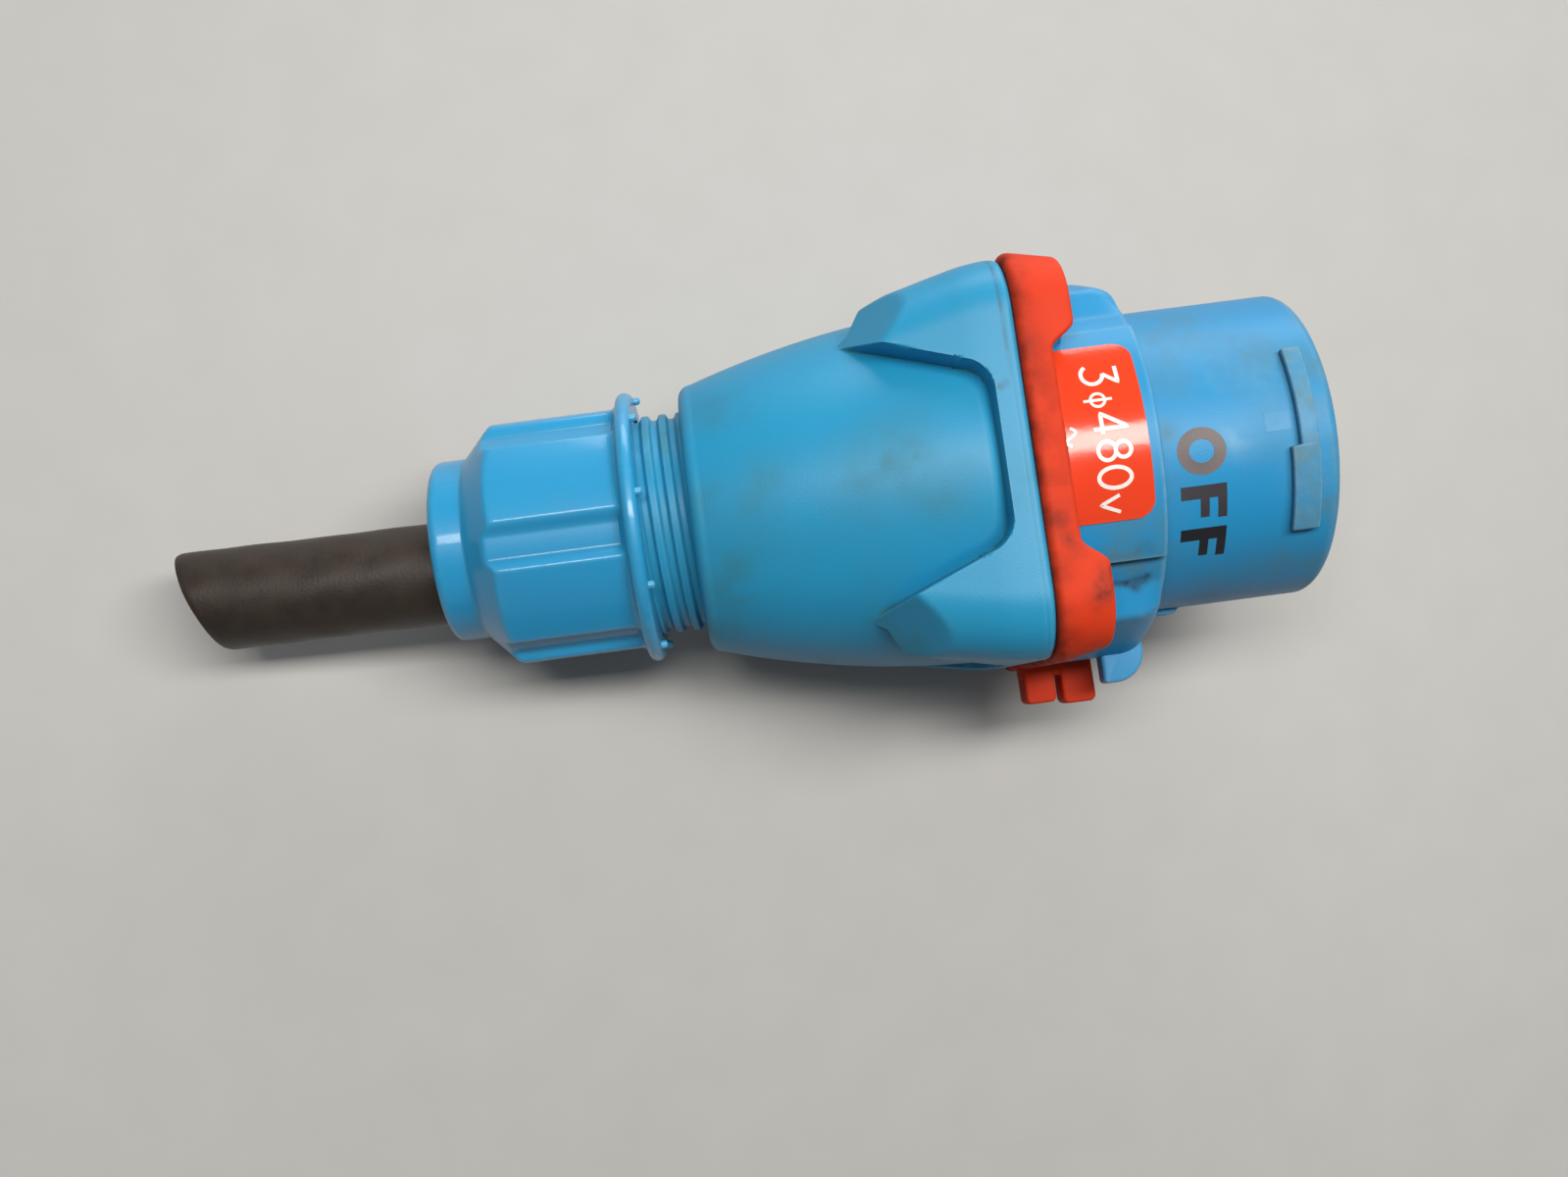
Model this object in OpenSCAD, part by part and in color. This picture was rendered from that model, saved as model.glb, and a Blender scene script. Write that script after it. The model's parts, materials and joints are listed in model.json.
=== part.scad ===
// Switch-rated plug inlet with its cable handle, lying on its side as it comes to rest.
// Lengths are in millimetres. The plug is drawn along X: x = 0 is the joint face between the
// handle and its gasket, +X points to the coupling nose, +Z to the label and +Y to the plain side.
// The laid() module at the end tips the finished plug onto the gasket and the gland nut.

/* [Coupling nose] */
// Outside radius of the round nose
nose_r = 35; // [33:0.5:38]
// Wall of the nose
nose_wall = 4; // [3:0.5:5]
// Length of the nose in front of the drum
nose_len = 39.2; // [32:0.2:50]
// Rounding of the nose's front rim
rim_round = 1.4; // [0.5:0.1:1.4]
// Height of the bayonet ribs above the nose
rib_h = 2; // [1:0.1:3]
// Width of a bayonet rib along the nose
rib_w = 3.9; // [3:0.1:6]
// Extra width of the rib's wide half
rib_jog = 2; // [0.5:0.1:3]
// Distance from the rim to the bayonet ribs
rib_back = 5.3; // [3:0.1:10]
// Angle of the rib's narrow half, measured from the jog
rib_narrow = 35; // [15:1:45]
// Angle of the rib's wide half, measured from the jog
rib_wide = 30; // [15:1:45]
// Turn of the rib's jog away from the label's middle, towards the tab side
rib_turn = 9; // [0:1:20]
// Length of the side key in front of the drum
key_len = 11.7; // [8:0.1:16]
// Length of the ramp that ends the side key
key_ramp = 3.6; // [2:0.1:6]
// Width of the side key round the nose
key_w = 7; // [4:0.5:10]
// Height of the side key above the nose
key_h = 1.3; // [0.8:0.1:3]

/* [Inlet body] */
// Thickness of the square flange
flange_t = 4; // [3:0.5:6]
// Length of the drum from the flange's back to the nose
drum_len = 24.8; // [22:0.2:32]
// Step from the nose up to the drum
drum_step = 4.5; // [3:0.1:6]
// Wall of the drum round the contact carrier
drum_wall = 6.5; // [5:0.1:8]
// Step from the nose's bore in to the ledge that the carrier rests on
ledge_step = 2.8; // [1.5:0.1:4]
// Thickness of the ledge that the carrier rests on
ledge_t = 7.8; // [5:0.1:9]
// Height of the label pad above the drum
pad_h = 2; // [1:0.1:2.5]
// Half angle of the label pad and of the pad under the drum
pad_angle = 38; // [32:1:42]
// Angle from the label's middle at which the side shoulders leave the drum
shoulder_angle = 48; // [44:1:56]
// Reach of the side shoulders beyond the drum
shoulder_out = 3.9; // [2.5:0.1:5]
// Height of the shoulders' crease above the axis
crease_z = 23; // [18:0.5:24]
// Distance of the shoulders' crease inside the drum's radius, measured across
crease_in = 3.1; // [2:0.1:4]
// Rounding of the shoulders' front corner
shoulder_round = 4; // [2:0.5:6]
// Height of the corner posts in front of the flange
post_len = 4; // [4:0.1:6]
// Reach of the side wing beyond the drum
wing_out = 10.9; // [7:0.1:14]
// Length of the side wing along the axis
wing_len = 10; // [8:0.5:11]
// Thickness of the side wing
wing_t = 6; // [4:0.5:8]
// Rounding of the wing's front corner
wing_round = 7; // [2:0.5:8]
// Half angle of the rating label
label_angle = 27; // [18:0.5:30]
// Length of the rating label along the axis
label_len = 17; // [10:0.2:17.4]
// Turn of the label's middle away from the pad's middle, towards the tab
label_turn = -3; // [-6:1:6]
// Rounding of the label's front corners
label_round = 4; // [1:0.5:6]
// Thickness of the label
label_t = 0.3; // [0.2:0.1:0.6]

/* [Contacts] */
// Radius of the contact pins
pin_r = 5; // [3.5:0.1:5.5]
// Length of the phase pins in front of the carrier
pin_len = 26; // [15:0.5:30]
// Extra length of the earth pin
earth_extra = 3; // [1:0.5:5]
// Radius of the circle that the pins stand on
pin_circle = 17; // [16:0.1:18.5]
// Thickness of the carrier disc
carrier_t = 12; // [10:0.5:13]
// Length of the carrier's front boss
boss_len = 10; // [8.5:0.5:14]
// Step between a pin and its thicker shank in the carrier
shank_step = 0.6; // [0.3:0.1:1]
// Radius of the terminal barrels
barrel_r = 6.5; // [5.5:0.1:7]
// Length of the terminal barrels
barrel_len = 24; // [18:0.5:28]
// Radius of the collar between a pin and its barrel
collar_r = 7.5; // [7.1:0.1:8.2]
// Thickness of the collar between a pin and its barrel
collar_t = 4; // [2:0.5:5]
// Radius of the terminal screws
terminal_screw_r = 2.2; // [1.5:0.1:2.6]
// Radius of the carrier screws
carrier_screw_r = 1.5; // [1:0.1:1.6]

/* [Gasket] */
// Corner radius of the square gasket
gasket_corner = 15; // [13:0.5:17]
// Wall of the gasket's skirt
gasket_wall = 3.4; // [2.6:0.1:3.8]
// Thickness of the gasket between the two flanges
gasket_web = 3; // [2:0.5:4]
// Length of the corner cups from the joint face
cup_len = 12.5; // [12:0.1:15]
// Draft of the gasket from the joint face to the cups' front
cup_draft = 2.6; // [1:0.1:3]
// Half width of the low stretch between two cups
band_half = 20.3; // [16:0.1:24]
// Slope length of a cup's shoulder, across the side
cup_slope = 5; // [3:0.5:9]
// Reach of the tether tab beyond the gasket
tab_out = 9; // [5:0.5:14]
// Length of the tether tab along the axis
tab_len = 17.3; // [12:0.1:18]
// Thickness of the tether tab
tab_t = 9; // [6:0.5:11]
// Slot between the tab's two ears
tab_slot = 1.7; // [1:0.1:3]
// Distance from the wing down to the tab
tab_drop = 7; // [1:0.5:9]

/* [Handle] */
// Inset of the handle's square flange behind the gasket's edge
handle_inset = 1.5; // [1:0.1:2.5]
// Length of the handle's barrel from the joint face
handle_len = 72.5; // [68:0.5:85]
// Shoulder of the barrel's cable end above the spigot
rear_shoulder = 7.1; // [5:0.1:9]
// Drop from the flange's edge to the barrel in front
barrel_drop = 1.9; // [1.5:0.1:2.5]
// Swell of the barrel between its ends
barrel_swell = 2.3; // [0.5:0.1:2.8]
// Width of the rim band at the flange
rim_band = 6.3; // [5:0.1:8]
// Depth of the groove behind the rim band
rim_groove = 1.8; // [0.8:0.1:2.4]
// Half width of a side window at the rim band
window_half = 18; // [14:0.5:21]
// Angle at which the windows open towards the cable end
window_flare = 25; // [18:1:28]
// Rounding of the windows' front corners
window_round = 7; // [3:0.5:10]
// Taper of the corner buttresses towards the axis
buttress_taper = 11.5; // [8:0.5:13]
// Angle of the sloped facet that ends a buttress
facet_angle = 31; // [27:1:36]
// Distance of the buttress tips from the joint face
tip_back = 35.5; // [33:0.5:40]
// Rounding of the barrel's rear edge
rear_round = 3; // [1:0.5:4]
// Rounding of the flange's front edge
front_round = 1.5; // [0.5:0.1:2]
// Radius of the screw inserts
insert_r = 3.6; // [3.2:0.1:4]
// Length of the screw inserts
insert_len = 10; // [6:0.5:12]

/* [Cable gland] */
// Radius over the crests of the gland thread
thread_r = 25.5; // [24.8:0.1:26]
// Depth of the gland thread
thread_depth = 1.2; // [0.8:0.1:1.5]
// Pitch of the gland thread
thread_pitch = 4; // [2.5:0.5:5]
// Length of the threaded spigot behind the barrel
spigot_len = 33.5; // [30:0.5:38]
// Wall of the spigot round the seal
spigot_wall = 3.8; // [3:0.1:5]
// Length of the seal inside the spigot
seal_len = 18; // [14:0.5:20]
// Thickness of the seal's rim
seal_rim = 2; // [1.5:0.1:3]
// Thickness of the slip washer
washer_t = 1.5; // [1:0.1:2.5]
// Distance between the barrel's rear face and the nut's ring
nut_gap = 10.7; // [9:0.1:14]
// Thickness of the nut's ring
ring_t = 3.6; // [2.5:0.1:5]
// Step from the nut's ridges up to its ring
ring_step = 2.9; // [1.5:0.1:4]
// Length of the nut's gripped body behind the ring
grip_len = 29; // [27.5:0.1:34]
// Wall of the nut over the thread, at its ridges
nut_wall = 2.8; // [2.6:0.1:4]
// Depth of the nut's finger flutes
flute_depth = 2; // [1:0.1:2.1]
// Length of the nut's chamfer
chamfer_len = 7.2; // [5:0.1:10]
// Wall of the nut's collar round the cable entry
collar_wall = 3.2; // [2.4:0.1:5]
// Length of the nut's collar
collar_nut_len = 7.7; // [5:0.1:12]
// Turn of the nut's first ridge away from the label's middle
nut_clock = 20; // [0:1:59]
// Number of stop pips on the ring
pip_count = 9; // [6:1:12]
// Turn of the first stop pip away from the label's middle
pip_clock = 33; // [0:1:59]

/* [Cable] */
// Wall of the cable's sheath
sheath_t = 2.8; // [1.5:0.1:3.5]
// Length of cable behind the nut's collar
cable_free = 57.3; // [30:0.1:120]
// Distance by which the cable lies off the axis in its loose gland, towards the tab
cable_shift = 5; // [0:0.1:6]
// Angle of the slanted cut at the cable's end
cut_angle = 20; // [0:1:30]
// Radius of an insulated conductor
core_r = 3.6; // [3:0.1:4]
// Gap between neighbouring conductors in the cable
core_gap = 0.1; // [0.05:0.05:0.4]
// Gap between the conductors and the sheath
sheath_gap = 0.4; // [0.2:0.1:0.8]
// Radius of a bare copper core
copper_r = 2.6; // [2:0.1:3]

/* [Clearances] */
// Gap between fixed pieces that slide into each other
fit_gap = 0.2; // [0.1:0.05:0.4]
// Gap between the nut or washer and what it runs on
run_gap = 0.3; // [0.2:0.05:0.5]
// Gap between the cable and the nut's entry
cable_gap = 0.8; // [0.5:0.1:1.5]

/* [Hidden] */
$fn = 96;
eps = 0.05;

core_circle = core_r * sqrt(2) + core_gap;
cable_r = core_circle + core_r + sheath_gap + sheath_t;
entry_r = cable_r + cable_shift + cable_gap;

drum_r = nose_r + drum_step;
pad_r = drum_r + pad_h;
bore_r = nose_r - nose_wall;
recess_r = drum_r - drum_wall;
carrier_r = recess_r - fit_gap;
ledge_r = bore_r - ledge_step;
boss_r = ledge_r - fit_gap;
flange_half = pad_r - 0.1;
gasket_half = flange_half + fit_gap + gasket_wall;
screw_c = gasket_half - gasket_corner;
wing_reach = drum_r + wing_out;
shoulder_reach = drum_r + shoulder_out;
tab_reach = gasket_half + tab_out;
handle_half = gasket_half - handle_inset;
barrel_front = handle_half - barrel_drop;

flange_x = gasket_web;
band_x = flange_x + flange_t;
post_x = band_x + post_len;
post_tip_r = gasket_half - cup_draft - gasket_wall - fit_gap - screw_c;
drum_x = flange_x + drum_len;
rim_x = drum_x + nose_len;
label_x = band_x + 0.3;

carrier_front = drum_x - ledge_t;
carrier_back = carrier_front - carrier_t;
boss_x = carrier_front + boss_len;
shank_r = pin_r + shank_step;
collar_x = carrier_back - collar_t;
barrel_x = collar_x - barrel_len;
copper_in = barrel_len * 0.6;
screw_ring = (ledge_r + recess_r) / 2;
pin_angles = [45, 135, 225, 315];

spigot_r = thread_r - thread_depth;
barrel_rear = spigot_r + rear_shoulder;
seal_bore = spigot_r - spigot_wall;
spigot_x = -handle_len - spigot_len;
seal_stop = spigot_x + seal_len;
stop_len = 8;
stop_r = entry_r;
rim_front = spigot_x - seal_rim;
washer_x = rim_front - fit_gap - washer_t;
nut_stop = washer_x - fit_gap;
nut_bore = thread_r + run_gap;
nut_r = nut_bore + nut_wall;
ring_r = nut_r + ring_step;
collar_nut_r = entry_r + collar_wall;
ring_x = -handle_len - nut_gap;
grip_x = ring_x - ring_t;
chamfer_x = grip_x - grip_len;
collar_front = chamfer_x - chamfer_len;
nut_x = collar_front - collar_nut_len;
sheath_x = seal_stop + stop_len;
cut_x = nut_x - cable_free;
cut_slope = tan(cut_angle);
core_x = barrel_x - 2;

insert_x = -4;
screw_r = 2.4;
head_r = 4;
head_t = 4;

// The resting plug touches the floor under the gasket's rear edge and under the nut's rear ridge.
rest_tilt = atan((gasket_half - nut_r) / -chamfer_x);
nose_reach = (rim_x - rim_round) * cos(rest_tilt) + (nose_r - rim_round) * sin(rest_tilt) + rim_round;
cable_reach = cut_x * cos(rest_tilt)
    - cable_r * sqrt(pow(cut_slope * cos(rest_tilt), 2) + pow(sin(rest_tilt), 2));
lay_x = -(nose_reach + cable_reach) / 2;
lay_y = (tab_reach - gasket_half) / 2;
lay_z = gasket_half * cos(rest_tilt);

// Tips the plug onto its resting points and centres it over the origin.
module laid() {
    translate([lay_x, lay_y, lay_z]) rotate([0, -rest_tilt, 0]) children();
}

// Extrudes a flat shape drawn in Y and Z along +X, from x.
module along(x, length) {
    translate([x, 0, 0]) rotate([90, 0, 90]) linear_extrude(height = length) children();
}

// Turns a profile of [radius, x] points about the plug's axis.
module turned(points) {
    rotate([0, 90, 0]) rotate_extrude() polygon(points);
}

// A round bar on the plug's axis, or beside it.
module bar(x, length, r, y = 0, z = 0) {
    translate([x, y, z]) rotate([0, 90, 0]) cylinder(h = length, r = r);
}

// A square with rounded corners whose centres lie screw_c out along each side.
module rounded_square(half) {
    corner = half - screw_c;
    square([2 * half, 2 * screw_c], center = true);
    square([2 * screw_c, 2 * half], center = true);
    for (y = [-1, 1], z = [-1, 1]) translate([y * screw_c, z * screw_c]) circle(r = corner);
}

// A wedge of the YZ plane between two angles, counted from +Z towards the tab side.
module wedge(from, to, reach) {
    polygon(concat([[0, 0]], [
        for (i = [0 : 4])
            let (a = from + (to - from) * i / 4)
            [-reach * sin(a), reach * cos(a)]
    ]));
}

// Places its children at each of the four corner screws.
module at_corners() {
    for (y = [-1, 1], z = [-1, 1]) translate([0, y * screw_c, z * screw_c]) children();
}

// Places its children on the pin circle at one of the four pin angles.
module at_pin(i) {
    rotate([pin_angles[i], 0, 0]) translate([0, 0, pin_circle]) children();
}

module ring_sector(x, length, r_in, r_out, from, to) {
    along(x, length) intersection() {
        difference() {
            circle(r = r_out);
            circle(r = r_in);
        }
        wedge(from, to, 2 * r_out);
    }
}

module bayonet_rib() {
    rib_x = rim_x - rib_back - rib_w;
    root = nose_r - nose_wall / 2;
    ring_sector(rib_x, rib_w, root, nose_r + rib_h, rib_turn - rib_narrow, rib_turn);
    ring_sector(rib_x - rib_jog, rib_w + rib_jog, root, nose_r + rib_h, rib_turn, rib_turn + rib_wide);
}

// A flat plate seen along Z: square behind, with one rounded corner in front.
module lug_plan(x, length, reach, round) {
    translate([x, 0]) square([length, reach - round]);
    translate([x, 0]) square([length - round, reach]);
    translate([x + length - round, reach - round]) circle(r = round);
}

module wing() {
    translate([0, 0, -wing_t / 2]) linear_extrude(height = wing_t)
        lug_plan(drum_x - 1 - wing_len, wing_len, wing_reach, wing_round);
}

// A shoulder on the drum's +Y side: a sloped top, a crease and a steep wall, the same below.
module shoulder() {
    shoulder_x = band_x + fit_gap;
    shoulder_len = drum_x - 0.8 - shoulder_x;
    crease_y = drum_r - crease_in;
    leave_y = drum_r * sin(shoulder_angle);
    leave_z = drum_r * cos(shoulder_angle);
    intersection() {
        along(shoulder_x, shoulder_len) polygon([
            [0, leave_z / 2], [leave_y, leave_z], [crease_y, crease_z], [shoulder_reach, wing_t / 2],
            [shoulder_reach, -wing_t / 2], [crease_y, -crease_z], [leave_y, -leave_z], [0, -leave_z / 2]
        ]);
        linear_extrude(height = 2 * drum_r, center = true)
            lug_plan(shoulder_x, shoulder_len, shoulder_reach, shoulder_round);
    }
}

// The side key on the -Y side: a low block that ends in a ramp.
module side_key() {
    root = nose_r - nose_wall / 2;
    translate([0, 0, -key_w]) linear_extrude(height = key_w) polygon([
        [drum_x - 1, -root], [drum_x - 1, -nose_r - key_h],
        [drum_x + key_len - key_ramp, -nose_r - key_h], [drum_x + key_len, -root]
    ]);
}

module nose_outline() {
    turned(concat(
        [[0, flange_x], [drum_r, flange_x], [drum_r, drum_x - 1], [drum_r - 1, drum_x], [nose_r, drum_x]],
        [for (i = [0 : 4]) let (a = 90 * i / 4)
            [nose_r - rim_round + rim_round * cos(a), rim_x - rim_round + rim_round * sin(a)]],
        [[0, rim_x]]));
}

// A raised stretch of the drum above or below.
module pad(turn, half_angle) {
    setback = 0.6;
    ring_sector(band_x - eps, drum_x - band_x - setback + eps, drum_r - 1, pad_r, turn - half_angle, turn + half_angle);
}

module inlet_bore() {
    bar(flange_x - eps, carrier_front - flange_x + eps, recess_r);
    bar(carrier_front - eps, ledge_t + 2 * eps, ledge_r);
    bar(drum_x, nose_len + eps, bore_r);
    for (i = [0 : 2]) rotate([120 * i, 0, 0])
        bar(carrier_front - eps, ledge_t - 2, carrier_screw_r + eps, 0, screw_ring);
    at_corners() {
        bar(flange_x - eps, post_x - flange_x + 2 * eps, screw_r + fit_gap);
        bar(post_x - head_t, head_t + eps, head_r + fit_gap);
    }
}

module inlet_body() {
    color("#2c8fc4") difference() {
        union() {
            nose_outline();
            along(flange_x, flange_t) rounded_square(flange_half);
            at_corners() translate([band_x - eps, 0, 0]) rotate([0, 90, 0])
                cylinder(h = post_len + eps, r1 = flange_half - screw_c, r2 = post_tip_r);
            for (turn = [0, 180]) pad(turn, pad_angle);
            shoulder();
            mirror([0, 1, 0]) shoulder();
            mirror([0, 1, 0]) wing();
            bayonet_rib();
            rotate([180, 0, 0]) bayonet_rib();
            side_key();
        }
        inlet_bore();
    }
}

module rating_label() {
    half_w = pad_r * sin(label_angle);
    color("#e8452b") rotate([label_turn, 0, 0]) intersection() {
        along(label_x, label_len) difference() {
            circle(r = pad_r + label_t);
            circle(r = pad_r);
        }
        linear_extrude(height = 2 * pad_r) {
            translate([label_x, -half_w]) square([label_len - label_round, 2 * half_w]);
            translate([label_x, label_round - half_w]) square([label_len, 2 * (half_w - label_round)]);
            for (y = [-1, 1])
                translate([label_x + label_len - label_round, y * (half_w - label_round)])
                    circle(r = label_round);
        }
    }
}

module contact_carrier() {
    color("#3a3d40") difference() {
        union() {
            bar(carrier_back, carrier_t, carrier_r);
            bar(carrier_front, boss_len, boss_r);
        }
        for (i = [0 : 3]) at_pin(i) bar(carrier_back - eps, carrier_t + boss_len + 2 * eps, shank_r + fit_gap);
        for (i = [0 : 2]) rotate([120 * i, 0, 0])
            bar(carrier_back - eps, carrier_t + 2 * eps, carrier_screw_r + fit_gap, 0, screw_ring);
    }
}

// A pin with a chamfered tip, a stop collar, and a terminal barrel bored for the copper core.
module contact_pin(i, length) {
    tip = boss_x + length;
    chamfer = pin_r / 5;
    color("#c9a552") at_pin(i) difference() {
        turned([
            [0, barrel_x], [barrel_r, barrel_x], [barrel_r, collar_x], [collar_r, collar_x],
            [collar_r, carrier_back], [shank_r, carrier_back], [shank_r, boss_x],
            [pin_r, boss_x], [pin_r, tip - chamfer],
            [pin_r - chamfer, tip], [0, tip]
        ]);
        bar(barrel_x - eps, copper_in + fit_gap + eps, copper_r + fit_gap);
        translate([barrel_x + copper_in / 2, 0, 0]) cylinder(h = 2 * barrel_r, r = terminal_screw_r + eps);
    }
}

module phase_pin_1() { contact_pin(0, pin_len); }
module phase_pin_2() { contact_pin(1, pin_len); }
module phase_pin_3() { contact_pin(2, pin_len); }
module earth_pin() { contact_pin(3, pin_len + earth_extra); }

module terminal_screws() {
    color("#b9bcc0") for (i = [0 : 3]) at_pin(i)
        translate([barrel_x + copper_in / 2, 0, copper_r + fit_gap]) difference() {
            cylinder(h = barrel_r - copper_r, r = terminal_screw_r);
            translate([0, 0, barrel_r - copper_r - 1.5]) cylinder(h = 3, r = terminal_screw_r / 2, $fn = 6);
        }
}

module carrier_screws() {
    color("#b9bcc0") for (i = [0 : 2]) rotate([120 * i, 0, 0]) difference() {
        union() {
            bar(carrier_back - 2 * carrier_screw_r + 1, 2 * carrier_screw_r - 1, screw_ring - ledge_r - eps, 0, screw_ring);
            bar(carrier_back - eps, carrier_t + ledge_t - 3, carrier_screw_r, 0, screw_ring);
        }
        translate([carrier_back - 2 * carrier_screw_r, -carrier_screw_r, screw_ring - 0.3])
            cube([1.8, 2 * carrier_screw_r, 0.6]);
    }
}

// Cuts the skirt down to the low band between two cups, on the +Z side.
module cup_gap() {
    translate([0, 0, gasket_half / 2]) linear_extrude(height = gasket_half) polygon([
        [band_x, -band_half], [band_x, band_half],
        [band_x + cup_slope / 3, band_half + cup_slope / 4],
        [cup_len - cup_slope / 3, band_half + cup_slope * 3 / 4],
        [cup_len, band_half + cup_slope], [cup_len + 1, band_half + cup_slope],
        [cup_len + 1, -band_half - cup_slope], [cup_len, -band_half - cup_slope],
        [cup_len - cup_slope / 3, -band_half - cup_slope * 3 / 4],
        [band_x + cup_slope / 3, -band_half - cup_slope / 4]
    ]);
}

// A forked tab on the -Y side: a root along the skirt and two ears with rounded ends.
module tether_tab() {
    ear = (tab_len - tab_slot) / 2;
    tab_z = -tab_t - wing_t / 2 - tab_drop;
    front_inner = shoulder_reach + fit_gap;
    translate([0, 0, tab_z]) linear_extrude(height = tab_t) {
        translate([0, -gasket_half - 2]) square([gasket_web, 2 + gasket_wall]);
        translate([0, -gasket_half - 2]) square([tab_len, gasket_half + 2 - front_inner]);
        for (x = [0, ear + tab_slot]) translate([x, 0]) {
            translate([0, ear / 4 - tab_reach]) square([ear, tab_reach - front_inner - ear / 4]);
            translate([ear / 4, -tab_reach]) square([ear / 2, ear]);
            for (u = [1, 3]) translate([u * ear / 4, ear / 4 - tab_reach]) circle(r = ear / 4);
        }
    }
}

module flange_gasket() {
    color("#d83a26") union() {
        difference() {
            hull() {
                along(0, eps) rounded_square(gasket_half);
                along(cup_len - eps, eps) rounded_square(gasket_half - cup_draft);
            }
            hull() {
                along(gasket_web, flange_t) rounded_square(gasket_half - gasket_wall);
                along(cup_len, 1) rounded_square(gasket_half - gasket_wall - cup_draft);
            }
            for (i = [0 : 3]) rotate([90 * i, 0, 0]) cup_gap();
            bar(-eps, gasket_web + 2 * eps, recess_r);
            at_corners() bar(-eps, gasket_web + 2 * eps, screw_r + fit_gap);
        }
        tether_tab();
    }
}

module flange_screws() {
    color("#b9bcc0") at_corners() difference() {
        union() {
            bar(post_x - head_t, head_t, head_r);
            bar(insert_x - insert_len, post_x - head_t - insert_x + insert_len, screw_r);
        }
        translate([post_x - head_t / 2, 0, 0]) rotate([0, 90, 0]) cylinder(h = head_t, r = head_r / 2, $fn = 6);
    }
}

module flange_inserts() {
    color("#c9a552") at_corners() difference() {
        bar(insert_x - insert_len, insert_len, insert_r);
        bar(insert_x - insert_len - eps, insert_len + 2 * eps, screw_r + eps);
    }
}

function barrel_point(t) = [
    barrel_rear + (barrel_front - barrel_rear) * t + 4 * barrel_swell * t * (1 - t),
    -handle_len + rear_round + (handle_len - rear_round - rim_band - rim_groove) * t
];

// The swelling barrel: rounded rear edge, a parabola for the side, and the dip behind the rim band.
module handle_barrel() {
    turned(concat(
        [[0, -handle_len]],
        [for (i = [0 : 4]) let (a = 75 * i / 4)
            [barrel_rear - rear_round + rear_round * sin(a), -handle_len + rear_round - rear_round * cos(a)]],
        [for (i = [0 : 16]) barrel_point(i / 16)],
        [for (i = [1 : 4]) let (a = 90 * i / 4)
            [barrel_front - rim_groove + rim_groove * cos(a), rim_groove * (sin(a) - 1) - rim_band]],
        [[barrel_front - rim_groove, -front_round], [0, -front_round]]));
}

// The square cape that the buttresses are cut from, tapering from the flange to beyond the tips.
module cape($fn = 48) {
    back = tip_back + 6;
    half_back = handle_half - (back - rim_band) * tan(buttress_taper);
    hull() {
        along(-back, eps) rounded_square_scaled(half_back);
        along(-rim_band, rim_band - front_round) rounded_square(handle_half);
        along(-front_round, front_round) rounded_square(handle_half - front_round);
    }
}

// The flange's outline drawn in to a smaller half width, with the same corner radius.
module rounded_square_scaled(half) {
    corner = handle_half - screw_c;
    side = half - corner;
    square([2 * half, 2 * side], center = true);
    square([2 * side, 2 * half], center = true);
    for (y = [-1, 1], z = [-1, 1]) translate([y * side, z * side]) circle(r = corner);
}

// The side window on the +Z side: straight at the rim band, rounded corners, flaring to the rear.
module window() {
    back = tip_back + 20;
    r = window_round;
    flare = tan(window_flare);
    edge = r * tan(45 - window_flare / 2);
    difference() {
        translate([0, 0, barrel_rear / 2]) linear_extrude(height = gasket_half) polygon([
            [-rim_band, -window_half], [-rim_band, window_half],
            [-back, window_half + (back - rim_band) * flare],
            [-back, -window_half - (back - rim_band) * flare]
        ]);
        for (side = [-1, 1]) translate([0, 0, barrel_rear / 2]) linear_extrude(height = gasket_half)
            difference() {
                polygon([
                    [-rim_band + eps, side * (window_half - edge)], [-rim_band + eps, side * (window_half + eps)],
                    [-rim_band - edge * cos(window_flare), side * (window_half + edge * sin(window_flare) + eps)],
                    [-rim_band - r, side * (window_half - edge)]
                ]);
                translate([-rim_band - r, side * (window_half - edge)]) circle(r = r);
            }
    }
}

// The slope that ends the buttress on the +Y +Z corner.
module facet_cut() {
    rotate([-45, 0, 0]) translate([-tip_back, 0, barrel_point(0.55)[0]]) rotate([0, -facet_angle, 0])
        translate([-2 * handle_half, -handle_half, 0]) cube([4 * handle_half, 2 * handle_half, handle_half]);
}

// The gland thread's crests, as trapezoid rings one pitch apart along the spigot.
module thread_crests() {
    foot = thread_pitch * 0.36;
    crest = thread_pitch * 0.2;
    root = spigot_r - thread_depth / 2;
    for (x = [spigot_x + thread_pitch / 2 : thread_pitch : -handle_len - foot])
        turned([
            [root, x - foot], [spigot_r, x - foot], [thread_r, x - crest],
            [thread_r, x + crest], [spigot_r, x + foot], [root, x + foot]
        ]);
}

module handle_cavity() {
    turned([
        [0, spigot_x - eps], [seal_bore, spigot_x - eps], [seal_bore, seal_stop], [stop_r, seal_stop],
        [stop_r, seal_stop + stop_len], [seal_bore + 4, -handle_len + 10], [barrel_rear, -handle_len / 2],
        [recess_r, -handle_len / 4], [recess_r, eps], [0, eps]
    ]);
}

module handle() {
    color("#2c8fc4") difference() {
        union() {
            handle_barrel();
            bar(spigot_x, spigot_len + rear_round, spigot_r);
            thread_crests();
            difference() {
                cape();
                for (i = [0 : 3]) rotate([90 * i, 0, 0]) window();
                for (i = [0 : 3]) rotate([90 * i, 0, 0]) facet_cut();
            }
        }
        handle_cavity();
        at_corners() {
            bar(insert_x - insert_len, insert_len - insert_x + eps, screw_r + fit_gap);
            bar(insert_x - insert_len, insert_len, insert_r);
        }
    }
}

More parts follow.
